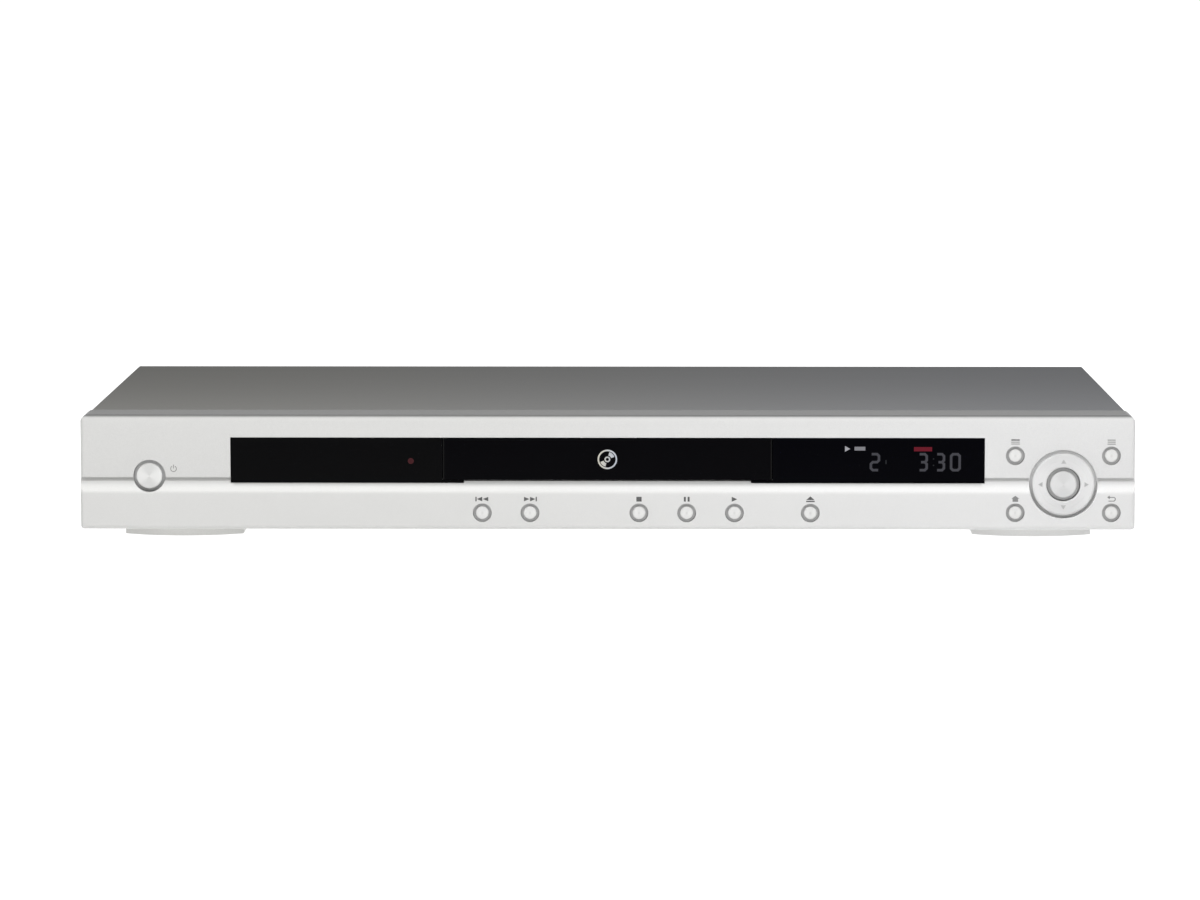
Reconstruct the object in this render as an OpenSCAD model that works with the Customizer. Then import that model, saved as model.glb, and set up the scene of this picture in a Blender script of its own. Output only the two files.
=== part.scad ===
// Slim disc player of hi-fi width with a motorised disc tray, in millimetres.
//
// The modules work in the case frame: x runs to the right from the middle of the front, y runs
// back from the lower front face and z up from the underside of the case. in_case() carries the
// case frame to the part's origin, which lies on the floor under the middle of the whole box.

/* [Case] */
// Width of the front panel
panel_w = 420; // [414:1:450]
// Height of the front panel
panel_h = 45.6; // [45:0.2:54]
// Depth of the front panel, lower face to rear rim
panel_d = 22; // [21:0.5:24]
// Wall of the front panel
panel_wall = 2.2; // [1.8:0.1:2.4]
// How far the upper face lies behind the lower face
ledge = 2; // [1.5:0.1:2.3]
// Rounding of the panel's upper corners, seen from the front
corner_r = 3; // [1.5:0.5:5]
// Rounding of the panel's lower corners, seen from the front
base_r = 1.8; // [1:0.2:2.6]
// Rounding of the panel's upright front edges, seen from above
edge_r = 1.6; // [0.8:0.2:3]
// Rounding of the panel's upper front edge
brow_r = 2.4; // [1:0.2:4]
// Height of the groove between the two faces
groove_z = 20; // [19.6:0.1:20.4]
// Width of the groove
groove_w = 1.4; // [0.8:0.1:1.8]
// Depth of the groove
groove_deep = 0.9; // [0.4:0.1:1.1]
// Height of the sloped shoulder under the groove
shoulder_h = 4; // [2:0.2:6]
// Depth of the case, lower face to the rear of the cover
case_d = 205; // [203:1:240]
// Step from the panel's side in to the cover's side
cover_inset = 1.5; // [1.5:0.5:5]
// Step from the panel's top down to the cover's top
cover_drop = 0.4; // [0.2:0.1:1]
// Thickness of the steel sheet
sheet = 0.8; // [0.6:0.1:1.1]
// Gap between sheets that lie on each other
sheet_gap = 0.1; // [0.05:0.05:0.2]
// Height of the feet
foot_h = 3.9; // [3.4:0.1:9]
// Width of a front foot
foot_w = 47.4; // [40:0.2:52]
// Radius of a front foot's curved front
foot_r = 32; // [26:0.5:40]
// Distance of a foot's middle from the middle of the case
foot_x = 169.8; // [140:0.2:176]

/* [Window band] */
// Distance of the window band from the panel's ends
window_in = 59.8; // [58:0.2:70]
// Height of the window band
window_h = 17.4; // [16.8:0.1:18]
// Height of the band's middle
window_z = 28; // [27.8:0.1:28.4]
// Thickness of the windows
window_t = 1.8; // [1.4:0.1:2]
// Gap round the windows and the door
window_gap = 0.15; // [0.1:0.05:0.2]
// Width of the tray door
door_w = 131; // [130.4:0.2:133]
// Height of the tray door
door_h = 16.4; // [16:0.1:17]
// Thickness of the tray door
door_t = 2.4; // [2:0.1:2.8]
// Gap round the tray door in its opening
door_gap = 0.3; // [0.2:0.05:0.4]
// Space between the display and the window's inner end
display_near = 19; // [12:1:24]
// Space between the display and the window's outer end
display_far = 7; // [5:1:12]
// Height of the display
display_h = 13; // [8:0.5:13.5]

/* [Buttons] */
// Diameter of a small button's bore
key_bore = 7.4; // [6.8:0.1:8]
// Diameter of a small button's cap
key_cap = 5.1; // [4:0.1:5.8]
// How far a cap stands out of the face
cap_proud = 0.4; // [0.2:0.05:0.6]
// Depth of the ring round a cap, below the face
moat_deep = 1; // [0.6:0.1:1.2]
// Travel of a button
key_travel = 0.5; // [0.3:0.05:0.5]
// Running gap round a button in its bore
key_gap = 0.12; // [0.08:0.01:0.2]
// Height of the lower row of buttons
key_row_z = 6.8; // [6.6:0.1:7.2]
// Spacing of neighbouring buttons
key_pitch = 19; // [16:0.1:20]
// Place of the first skip button
skip_x = -49.8; // [-60:0.1:-46]
// Place of the stop button
stop_x = 12.6; // [10:0.1:16]
// Place of the open and close button
open_x = 80.8; // [76:0.1:100]
// Diameter of the standby button's bore
standby_bore = 12.7; // [11:0.1:14]
// Diameter of the standby button's cap
standby_cap = 10.2; // [8:0.1:10.8]
// Distance of the standby button from the panel's left side
standby_in = 27.5; // [24:0.5:32]
// Height of the standby button
standby_z = 21.3; // [19:0.1:23]
// Distance of the navigation ring from the panel's right side
nav_in = 28.6; // [27:0.2:30]
// Height of the navigation ring
nav_z = 18.3; // [18:0.1:18.8]
// Diameter of the navigation ring's bore
nav_bore = 27.4; // [26:0.2:28]
// Outer diameter of the ring's face
nav_od = 24.6; // [23:0.2:25.2]
// Inner diameter of the ring's face
nav_id = 13.5; // [13:0.1:14.5]
// Diameter of the enter button's cap
enter_cap = 10.6; // [9:0.1:10.8]
// Sideways distance of the menu buttons from the ring
menu_dx = 19.1; // [18.6:0.1:20]
// Upward distance of the menu buttons from the ring
menu_dz = 11.3; // [10:0.1:11.4]
// Depth of the control board behind the lower face
board_y = 13.5; // [13:0.1:14]
// Thickness of the circuit boards
board_t = 1.6; // [1.2:0.2:1.6]

/* [Disc tray] */
// Width of the tray
tray_w = 129; // [127:0.5:129.4]
// Length of the tray behind the door
tray_l = 167; // [164:1:168]
// How far the tray comes out
tray_travel = 136; // [100:1:138]
// Depth of the disc's middle behind the lower face
disc_y = 72; // [71.5:0.5:74]
// Diameter of the large disc well
well_d = 121.6; // [120.6:0.2:122]
// Diameter of the small disc well
small_well_d = 81.6; // [80.6:0.2:83]
// Depth of the large well under the tray's rim
well_deep = 4.6; // [3:0.2:4.8]
// Further depth of the small well
small_well_deep = 1.4; // [0.8:0.1:1.6]
// Thickness of the tray under the small well
tray_floor = 1.6; // [1.4:0.1:2]
// Width of the slot for the pick-up, open to the rear
slot_w = 48; // [44:1:52]
// Height of the tray's runners above the underside of the case
runner_z = 21.5; // [21.3:0.1:21.7]
// Running gap of the tray over its rails
runner_gap = 0.2; // [0.1:0.05:0.3]

/* [Drive] */
// Module of the gear teeth
tooth_m = 0.8; // [0.8:0.01:0.84]
// Teeth of the drive gear's upper pinion, on the rack
rack_pinion_n = 18; // [16:1:18]
// Teeth of the drive gear's lower wheel
wheel_n = 30; // [28:1:30]
// Teeth of the pulley gear's pinion
pinion_n = 14; // [14:1:15]
// Play between meshing teeth
backlash = 0.12; // [0.08:0.01:0.2]
// Radius of the large pulley, bottom of its groove
pulley_r = 8; // [6:0.1:8]
// Radius of the motor's pulley, bottom of its groove
motor_pulley_r = 3; // [2.4:0.1:3.4]
// Thickness of the drive belt
belt_t = 1.2; // [1:0.1:1.4]
// Diameter of the loading motor
load_motor_d = 24.4; // [20:0.2:24.4]
// Running gap of a wheel on its post
axle_gap = 0.05; // [0.03:0.01:0.08]
// Sideways travel of the cam slider
cam_travel = 20; // [14:1:20]
// Angle through which the traverse drops
drop_angle = 3.5; // [2:0.1:3.6]

/* [Read unit] */
// Depth of the traverse's hinge behind the lower face
hinge_y = 161; // [160:0.5:162]
// Height of the traverse's hinge
hinge_z = 14.7; // [14.5:0.1:15]
// Diameter of the traverse's hinge pins
hinge_d = 4; // [3:0.2:4.4]
// Diameter of the spindle motor
spindle_motor_d = 25; // [22:0.5:26]
// Diameter of the turntable
turntable_d = 29; // [27:0.5:31]
// Height at which the turntable carries the disc
seat_z = 27.5; // [27.3:0.1:27.7]
// Diameter of the turntable's centring hub
hub_d = 14.7; // [14.5:0.1:14.9]
// Distance from the disc's middle to the lens at rest
lens_r0 = 24; // [24:0.5:25]
// Travel of the pick-up
sled_travel = 34; // [30:1:34]
// Distance of the guide rods from the middle
rod_x = 22; // [21:0.5:22.5]
// Diameter of the guide rods
rod_d = 3; // [2.5:0.1:3.2]
// Distance of the lead screw from the middle
screw_x = 31.5; // [31:0.25:32]
// Diameter of the lead screw
screw_d = 2.4; // [2:0.1:2.6]
// Pitch of the lead screw
screw_pitch = 3; // [2:0.5:4]
// Diameter of the disc clamper
clamper_d = 33; // [30:0.5:36]

/* [Rear] */
// Length of a phono jack's shell outside the rear panel
jack_reach = 8.5; // [7:0.5:10]
// Diameter of a phono jack's shell
jack_d = 8.3; // [8.2:0.05:8.4]
// Spacing of the phono jacks
jack_pitch = 14; // [12:0.5:16]
// Place of the mains inlet
inlet_x = -165; // [-172:1:-150]
// Distance of the first phono jack from the main board's edge
jack_in = 8; // [7:0.5:10]
// Distance from the last phono jack to the multimedia socket
hdmi_gap = 18; // [16:0.5:18]
// Height of the circuit boards in the case
deck_z = 6; // [5:0.5:7]

/* [Hidden] */
$fn = 48;
eps = 0.01;

// Case
half_w = panel_w / 2;
cover_half = half_w - cover_inset;
cover_z = panel_h - cover_drop;
cover_y0 = panel_d + 0.3;
inner_half = cover_half - sheet - sheet_gap;
rear_y1 = case_d - sheet - sheet_gap;
rear_y0 = rear_y1 - sheet;
groove_z0 = groove_z - groove_w / 2;
groove_z1 = groove_z + groove_w / 2;
shoulder_z = groove_z0 - shoulder_h;
upper_in = ledge + panel_wall;
total_d = cap_proud + case_d + jack_reach - sheet - sheet_gap;
face_y = cap_proud - total_d / 2;
flange_y = panel_d + sheet_gap;
flange_h = panel_h - panel_wall - 3;
lip_h = 8;
cover_bend = 1.2;
lip_in = 4;

// Feet
pad_h = 1;
front_foot_y = 11.5;
front_foot_l = 33;
rear_foot_y = case_d - 22;
rear_foot_d = 17;

// Window band
win_x = half_w - window_in;
win_z0 = window_z - window_h / 2;
win_z1 = window_z + window_h / 2;
pocket_y = ledge + window_t + 0.05;
pocket_back = pocket_y + 1.5;
door_x = door_w / 2;
door_z0 = window_z - door_h / 2;
door_z1 = window_z + door_h / 2;
open_half = door_x + door_gap;
open_z0 = door_z0 - door_gap;
open_z1 = door_z1 + door_gap;
win_in = open_half + window_gap;
sill_half = door_x - 8.4;
window_low = 0.8;
display_w = win_x - win_in - display_near - display_far;
display_x = win_in + display_near + display_w / 2;
led_x = -78.3;
led_z = window_z - 0.7;
led_d = 3;

// Stiffening ribs of the panel
rib_end = 40;
rib_low = 76;
rib_nav = 63;
rib_door = 40;
rib_far = 80;

// Buttons: name, x, z, depth of the face round it, bore, cap
nav_x = half_w - nav_in;
KEYS = [
  ["standby_button", -half_w + standby_in, standby_z, ledge, standby_bore, standby_cap],
  ["skip_back_button", skip_x, key_row_z, 0, key_bore, key_cap],
  ["skip_forward_button", skip_x + key_pitch, key_row_z, 0, key_bore, key_cap],
  ["stop_button", stop_x, key_row_z, 0, key_bore, key_cap],
  ["pause_button", stop_x + key_pitch, key_row_z, 0, key_bore, key_cap],
  ["play_button", stop_x + 2 * key_pitch, key_row_z, 0, key_bore, key_cap],
  ["open_close_button", open_x, key_row_z, 0, key_bore, key_cap],
  ["top_menu_button", nav_x - menu_dx, nav_z + menu_dz, ledge, key_bore, key_cap],
  ["menu_button", nav_x + menu_dx, nav_z + menu_dz, ledge, key_bore, key_cap],
  ["home_menu_button", nav_x - menu_dx, nav_z - menu_dz, 0, key_bore, key_cap],
  ["return_button", nav_x + menu_dx, nav_z - menu_dz, 0, key_bore, key_cap]
];
switch_h = 5;
switch_body_h = 3.6;
switch_w = 6;
stem_gap = key_travel + 0.1;
stem_end = board_y - switch_h - stem_gap;
stem_r = 1.7;
flange_t = 0.9;
flange_over = 0.9;
nav_press_r = 9.4;
nav_tip_gap = 0.45;
nav_flange_y = upper_in + 0.6;
nav_play = 0.35;
board_half = half_w - 7;
board_z0 = 2.7;
board_z1 = panel_h - panel_wall - 1;
notch_half = open_half + 4;
notch_z = open_z0 - 1;
board_rear = board_y + board_t;
BOARD_BOSSES = [
  [-half_w + 12, panel_h - 7.6], [-half_w + 60, 9], [-100, panel_h - 5.2], [-84, 8],
  [skip_x + 2 * key_pitch, 8], [open_x - 13, 8], [open_x + 22, 8], [110, panel_h - 5.2],
  [nav_x - menu_dx - 12.5, 13]
];

// Disc tray
tray_y0 = ledge + door_t + 0.1;
tray_y1 = tray_y0 + tray_l;
tray_x = tray_w / 2;
tray_under = runner_z + 1.5;
small_z = tray_under + tray_floor;
well_z = small_z + small_well_deep;
rim_z = well_z + well_deep;
runner_w = 4;
tray_wall = 2;
front_wall_t = 2.4;

// Gear train
rack_r = tooth_m * rack_pinion_n / 2;
wheel_r = tooth_m * wheel_n / 2;
pinion_r = tooth_m * pinion_n / 2;
pitch = PI * tooth_m;
add_h = 0.8 * tooth_m;
ded_h = 1.05 * tooth_m;
rack_x = -tray_x + 9.5;
rack_back = 2.2;
rack_z0 = open_z0 + 0.45;
gear_x = rack_x + rack_r + backlash / 2;
gear_y = 32;
train_a = -10;
train_c = wheel_r + pinion_r + backlash / 2;
pulley_x = gear_x + train_c * cos(train_a);
pulley_y = gear_y + train_c * sin(train_a);
motor_x = 0;
motor_y = 31.7;
post_d = 3;
wheel_z = 10.3;
wheel_t = 3.2;
belt_z = 18;
pulley_t = 3;
pulley_rim = 0.8;
motor_z1 = belt_z - pulley_t / 2 - 0.3;

// Loader frame
loader_z = 3.2;
loader_floor = 1.6;
guide_x = tray_x + 0.6;
guide_t = 2.5;
loader_y0 = board_rear + 2.4;
loader_y1 = tray_y1 + 4;
rail_w = 5;
rail_t = 2;
bridge_z = rim_z + 1;
bridge_t = 1.6;
hatch_half = 50;
hatch_y0 = 52;
hatch_y1 = hinge_y + 3;
foot_tab = 9;
LOADER_FEET = [
  [-guide_x - guide_t - foot_tab / 2, loader_y0 + 11], [guide_x + guide_t + foot_tab / 2, loader_y0 + 11],
  [-guide_x - guide_t - foot_tab / 2, loader_y1 - 8], [guide_x + guide_t + foot_tab / 2, loader_y1 - 8]
];

// Cam slider and traverse
cam_y = 47;
cam_t = 3;
cam_z0 = loader_z + loader_floor + 0.2;
cam_h = 13.4;
cam_pin_x = 26;
cam_pin_r = 1.5;
cam_gap = 0.15;
frame_half = 47;
frame_y0 = 54;
frame_t = 3.4;
frame_z0 = hinge_z - 1.7;
pin_drop = (hinge_y - cam_y - cam_t / 2) * sin(drop_angle);

// Mech deck and pick-up
bush_h = 1.2;
bush_tab = 3.2;
deck_z0 = frame_z0 + frame_t + bush_h;
deck_t = 1.2;
deck_y0 = frame_y0 + 1;
deck_y1 = hinge_y - 5;
sled_motor_r = 5;
bay_half = screw_x + sled_motor_r + 1;
deck_half = bay_half + 5.5;
frame_in = deck_half - 3.5;
bay_y0 = disc_y + spindle_motor_d / 2 + 1;
bay_y1 = deck_y1 - 6;
bush_x = deck_half - 3.2;
BUSHES = [
  [-bush_x, deck_y0 + 4.5], [bush_x, deck_y0 + 4.5],
  [-bush_x, deck_y1 - 3.2], [bush_x, deck_y1 - 3.2]
];
rod_z = deck_z0 - rod_d / 2 - 0.6;
lens_y = disc_y + lens_r0;
sled_y0 = lens_y - 8;
sled_y1 = lens_y + 17;
sled_motor_y = lens_y + sled_travel + 5;
turntable_gap = 0.3;

// Rear boards and sockets
board_top = deck_z + board_t;
power_x0 = -inner_half + 6;
power_x1 = power_x0 + 96;
power_y0 = 70;
power_y1 = rear_y0 - 1;
main_x0 = guide_x + guide_t + foot_tab + 3;
main_x1 = inner_half - 6;
main_y0 = 60;
main_y1 = rear_y0 - 1;
BOARD_FEET = [
  [power_x0 + 5, power_y0 + 5], [power_x1 - 5, power_y0 + 5], [power_x0 + 5, power_y1 - 24],
  [power_x1 - 5, power_y1 - 8], [main_x0 + 5, main_y0 + 5], [main_x1 - 5, main_y0 + 5],
  [main_x1 - 5, main_y1 - 8], [main_x0 + 5, main_y1 - 24]
];
standoff_d = 6;

// Packages on the main board: decoder with its finned cooler, and the others by x, y, width and length
decoder_w = 24;
decoder_x = main_x0 + 56;
decoder_y = main_y0 + 64;
cooler_t = 3.2;
cooler_h = 9;
fin_pitch = 3.5;
fin_t = 1.2;
chip_t = 1.3;
CHIPS = [[23, 55, 18, 10], [23, 71, 18, 10], [86, 64, 12, 12], [22, 26, 16, 16]];

// Transformer and capacitors on the power board
winding_x = power_x0 + 52;
winding_y = power_y0 + 58;
core_w = 30;
core_l = 12;
core_h = 22;
winding_r = 10.6;
winding_gap = 4;
jack_z = board_top + 8;
JACKS = [for (i = [0:5]) main_x0 + jack_in + i * jack_pitch];
hdmi_x = JACKS[5] + hdmi_gap;
inlet_z = board_top + 8;
hdmi_z = board_top + 3.4;

// ---- Helpers ----

module in_case() translate([0, face_y, foot_h]) children();

// A block given by its two corners
module block(x0, x1, y0, y1, z0, z1) translate([x0, y0, z0]) cube([x1 - x0, y1 - y0, z1 - z0]);

// Outlines drawn in (y, z), (x, z) and (x, y), carried along the third axis
module along_x(x0, x1) translate([x0, 0, 0]) rotate([90, 0, 90]) linear_extrude(x1 - x0) children();
module along_y(y0, y1) translate([0, y1, 0]) rotate([90, 0, 0]) linear_extrude(y1 - y0) children();
module along_z(z0, z1) translate([0, 0, z0]) linear_extrude(z1 - z0) children();

// Round bars along each axis
module bar_x(y, z, r, x0, x1) translate([x0, y, z]) rotate([0, 90, 0]) cylinder(r = r, h = x1 - x0);
module bar_y(x, z, r, y0, y1) translate([x, y0, z]) rotate([-90, 0, 0]) cylinder(r = r, h = y1 - y0);
module bar_z(x, y, r, z0, z1) translate([x, y, z0]) cylinder(r = r, h = z1 - z0);

// A profile of (radius, depth) points turned about an axis that runs back from the face
module turned_y(x, z, points) translate([x, 0, z]) rotate([-90, 0, 0]) rotate_extrude() polygon(points);
module turned_z(x, y, points) translate([x, y, 0]) rotate_extrude() polygon(points);

// Points of an arc from angle a0 to a1 in n steps
function arc(cx, cy, r, a0, a1, n) =
  [for (i = [0:n]) let (a = a0 + (a1 - a0) * i / n) [cx + r * cos(a), cy + r * sin(a)]];

// A rectangle with round corners, from its two corners
function round_rect(x0, x1, y0, y1, r, n = 5) = concat(
  arc(x1 - r, y0 + r, r, -90, 0, n), arc(x1 - r, y1 - r, r, 0, 90, n),
  arc(x0 + r, y1 - r, r, 90, 180, n), arc(x0 + r, y0 + r, r, 180, 270, n));

// A pan-headed screw that points along -z, its head's underside at the origin
module screw(d, l) rotate_extrude() polygon([
  [0, d * 0.6], [d * 0.6, d * 0.6], [d * 0.95, d * 0.3], [d * 0.95, 0],
  [d / 2, 0], [d / 2, -l + d / 3], [d / 5, -l], [0, -l]]);

// ---- Case ----

panel_side = concat([[panel_d, 0]], arc(base_r, base_r, base_r, 270, 180, 5),
  [[0, shoulder_z], [ledge * 0.8, groove_z0], [ledge + groove_deep, groove_z0],
   [ledge + groove_deep, groove_z1], [ledge, groove_z1]],
  arc(ledge + brow_r, panel_h - brow_r, brow_r, 180, 90, 6), [[panel_d, panel_h]]);

panel_front = concat(arc(half_w - base_r, base_r, base_r, -90, 0, 5),
  arc(half_w - corner_r, panel_h - corner_r, corner_r, 0, 90, 6),
  arc(corner_r - half_w, panel_h - corner_r, corner_r, 90, 180, 6),
  arc(base_r - half_w, base_r, base_r, 180, 270, 5));

function panel_plan(y) = concat([[-half_w, panel_d]], arc(edge_r - half_w, y + edge_r, edge_r, 180, 270, 5),
  arc(half_w - edge_r, y + edge_r, edge_r, 270, 360, 5), [[half_w, panel_d]]);

panel_cavity = [[panel_d + 1, panel_wall], [panel_wall, panel_wall], [panel_wall, shoulder_z - 0.4],
  [upper_in, groove_z0], [upper_in, panel_h - panel_wall], [panel_d + 1, panel_h - panel_wall]];

HOOKS = [-half_w + 26, -half_w + 108, half_w - 108, half_w - 26];
hook_w = 10;
pilot_r = 1.25;

module front_panel() in_case() color("gainsboro") {
  difference() {
    union() {
      difference() {
        intersection() {
          along_x(-half_w, half_w) polygon(panel_side);
          along_y(-1, panel_d + 1) polygon(panel_front);
          union() {
            along_z(-1, groove_z) polygon(panel_plan(0));
            along_z(groove_z, panel_h + 1) polygon(panel_plan(ledge));
          }
        }
        along_x(panel_wall - half_w, half_w - panel_wall) polygon(panel_cavity);
      }
      block(-win_x - 2, win_x + 2, ledge + 0.8, pocket_back, win_z0 - 2, win_z1 + 2);
      for (b = BOARD_BOSSES)
        bar_y(b[0], b[1], 2.8, b[1] < shoulder_z ? panel_wall - 0.3 : upper_in - 0.3, board_y);
      panel_ribs();
      for (x = HOOKS) panel_hooks(x);
      for (s = [-1, 1]) nav_ears(s);
    }
    // The band for the windows, cut lower beside the sill under the door
    block(-win_x, win_x, -1, pocket_y, win_z0, win_z1);
    for (s = [-1, 1])
      block(s > 0 ? sill_half : -win_x, s > 0 ? win_x : -sill_half, -1, pocket_y, win_z0 - window_low, win_z0 + eps);
    block(-open_half, open_half, -1, panel_d, open_z0, open_z1);
    block(display_x - display_w / 2 - 1, display_x + display_w / 2 + 1, 0, panel_d,
      window_z - display_h / 2 - 0.5, window_z + display_h / 2 + 0.5);
    bar_y(led_x, led_z, led_d / 2 + 0.3, 0, panel_d);
    for (k = KEYS) bar_y(k[1], k[2], k[4] / 2, -1, upper_in + 1);
    bar_y(nav_x, nav_z, nav_bore / 2, -1, upper_in + 1);
    for (b = BOARD_BOSSES) bar_y(b[0], b[1], pilot_r, board_y - 6.5, board_y + 1);
  }
}

// Stiffening ribs between the top wall, the front wall and the bottom wall
module panel_ribs() {
  for (x = [rib_end - half_w, rib_low - half_w, half_w - rib_nav])
    block(x, x + 1.2, panel_wall - 0.3, board_y - 1.5, panel_wall - 0.3, shoulder_z - 2);
  for (x = [rib_end - half_w, -rib_far, -rib_door, rib_door, rib_far, half_w - rib_nav])
    block(x, x + 1.2, upper_in - 0.3, board_y - 1.5, win_z1 + 1.5, panel_h - panel_wall + 0.3);
}

// Snap hooks over the top of the chassis flange and through its lower slots
module panel_hooks(x) {
  y0 = flange_y - 5;
  y1 = flange_y + sheet + 0.15;
  top = panel_h - panel_wall;
  along_x(x - hook_w / 2, x + hook_w / 2) polygon([[y0, top + 0.3], [y0, top - 2], [y1, top - 2],
    [y1, flange_h - 0.8], [y1 + 1.8, top - 1.8], [y1 + 1.8, top], [panel_d, top], [panel_d, top + 0.3]]);
  along_x(x - hook_w / 2, x + hook_w / 2) polygon([[y0, panel_wall - 0.3], [y0, panel_wall + 2],
    [y1, panel_wall + 2], [y1, panel_wall + 3.2], [y1 + 1.8, panel_wall + 1.8], [y1 + 1.8, panel_wall],
    [panel_d, panel_wall], [panel_d, panel_wall - 0.3]]);
}

// One window, on side s of the door, with a foot that reaches under the door's end
module window_plate(s) {
  low = win_z0 - window_low + window_gap;
  high = win_z1 - window_gap;
  along_y(ledge, ledge + window_t) polygon([
    [s * (win_x - window_gap), low], [s * (sill_half + window_gap), low], [s * (sill_half + window_gap), open_z0],
    [s * open_half, open_z0], [s * open_half, high], [s * (win_x - window_gap), high]]);
}

module left_window() in_case() color([0.05, 0.05, 0.06])
  window_plate(-1);

module display_window() in_case() color([0.03, 0.03, 0.05])
  window_plate(1);

// U-shaped steel cover with a lip folded down at the rear
module top_cover() in_case() color("dimgray") {
  low = sheet + 0.4;
  side_z = 8;
  difference() {
    union() {
      along_y(cover_y0, case_d) difference() {
        polygon(concat([[-cover_half, low], [cover_half, low]],
          arc(cover_half - cover_bend, cover_z - cover_bend, cover_bend, 0, 90, 5),
          arc(cover_bend - cover_half, cover_z - cover_bend, cover_bend, 90, 180, 5)));
        polygon(concat([[sheet - cover_half, low - 1], [cover_half - sheet, low - 1]],
          arc(cover_half - cover_bend, cover_z - cover_bend, cover_bend - sheet, 0, 90, 5),
          arc(cover_bend - cover_half, cover_z - cover_bend, cover_bend - sheet, 90, 180, 5)));
      }
      block(lip_in - cover_half, cover_half - lip_in, case_d - sheet, case_d,
        cover_z - lip_h, cover_z - sheet / 2);
    }
    for (y = COVER_SCREW_Y) bar_x(y, side_z, 1.7, -half_w, half_w);
    for (x = LIP_SCREW_X) bar_y(x, cover_z - lip_h / 2, 1.7, case_d - 2, case_d + 1);
  }
}
COVER_SCREW_Y = [panel_d + 40, case_d - 36];
LIP_SCREW_X = [-cover_half + 20, 0, cover_half - 20];

module cover_screws() in_case() color("black") {
  for (s = [-1, 1], y = COVER_SCREW_Y)
    translate([s * (cover_half + eps), y, 8]) rotate([0, s * 90, 0]) screw(2.4, 6);
  for (x = LIP_SCREW_X) translate([x, case_d + eps, cover_z - lip_h / 2]) rotate([-90, 0, 0]) screw(2.4, 6);
}

// Steel tray that everything stands on, with a front flange for the panel
module bottom_chassis() in_case() color("silver") {
  side_h = 14;
  gate = guide_x + guide_t + foot_tab + 2;
  difference() {
    union() {
      block(-inner_half, inner_half, flange_y, rear_y0 - sheet_gap, 0, sheet);
      for (s = [-1, 1]) block(
        s > 0 ? inner_half - sheet : -inner_half, s > 0 ? inner_half : sheet - inner_half,
        flange_y, rear_y0 - sheet_gap, 0, side_h);
      block(-inner_half + sheet + 0.3, inner_half - sheet - 0.3, flange_y, flange_y + sheet, 0, flange_h);
      for (x = CHASSIS_RIBS) chassis_rib(x, 0, 2.6);
      for (f = LOADER_FEET) bar_z(f[0], f[1], 4, 0, loader_z - sheet_gap);
      for (f = BOARD_FEET) bar_z(f[0], f[1], standoff_d / 2, 0, deck_z - sheet_gap);
    }
    block(-gate, gate, flange_y - 1, flange_y + sheet + 1, sheet + 0.6, panel_h);
    for (x = CHASSIS_RIBS) chassis_rib(x, sheet, 2.6);
    for (x = HOOKS) block(x - hook_w / 2 - 0.5, x + hook_w / 2 + 0.5, flange_y - 1, flange_y + sheet + 1,
      panel_wall - 0.3, panel_wall + 2.4);
    block(CABLE_X - 13, CABLE_X + 13, flange_y - 1, flange_y + sheet + 1, 22, 36);
    for (f = LOADER_FEET) bar_z(f[0], f[1], pilot_r, -1, loader_z + 1);
    for (f = BOARD_FEET) bar_z(f[0], f[1], pilot_r, -1, deck_z + 1);
    for (s = [-1, 1]) {
      for (y = COVER_SCREW_Y) bar_x(y, 8, pilot_r, s > 0 ? inner_half - 2 : -inner_half - 1,
        s > 0 ? inner_half + 1 : -inner_half + 2);
      for (p = [-1, 1]) bar_z(s * foot_x + p * 12, FOOT_PEG_Y, 1.75, -1, sheet + 1);
      bar_z(s * foot_x, rear_foot_y, 2.25, -1, sheet + 1);
    }
    // Cooling slots under the power board and the main board
    for (i = [0:8], j = [0:1]) {
      block(power_x0 + 14 + i * 8, power_x0 + 17 + i * 8, 84 + j * 34, 110 + j * 34, -1, sheet + 1);
      block(main_x0 + 16 + i * 8, main_x0 + 19 + i * 8, 78 + j * 34, 104 + j * 34, -1, sheet + 1);
    }
  }
}
CHASSIS_RIBS = [-hatch_half + 8, hatch_half - 8];
CABLE_X = display_x + 6;
FOOT_PEG_Y = front_foot_y + 18;

// A pressed rib, less its hollow when it is drawn with inset
module chassis_rib(x, inset, h) along_y(flange_y + 10 + inset, rear_y0 - 14 - inset)
  polygon([[x - 5 + inset, inset > 0 ? -1 : 0], [x - 3 + inset, h - inset], [x + 3 - inset, h - inset],
    [x + 5 - inset, inset > 0 ? -1 : 0]]);

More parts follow.
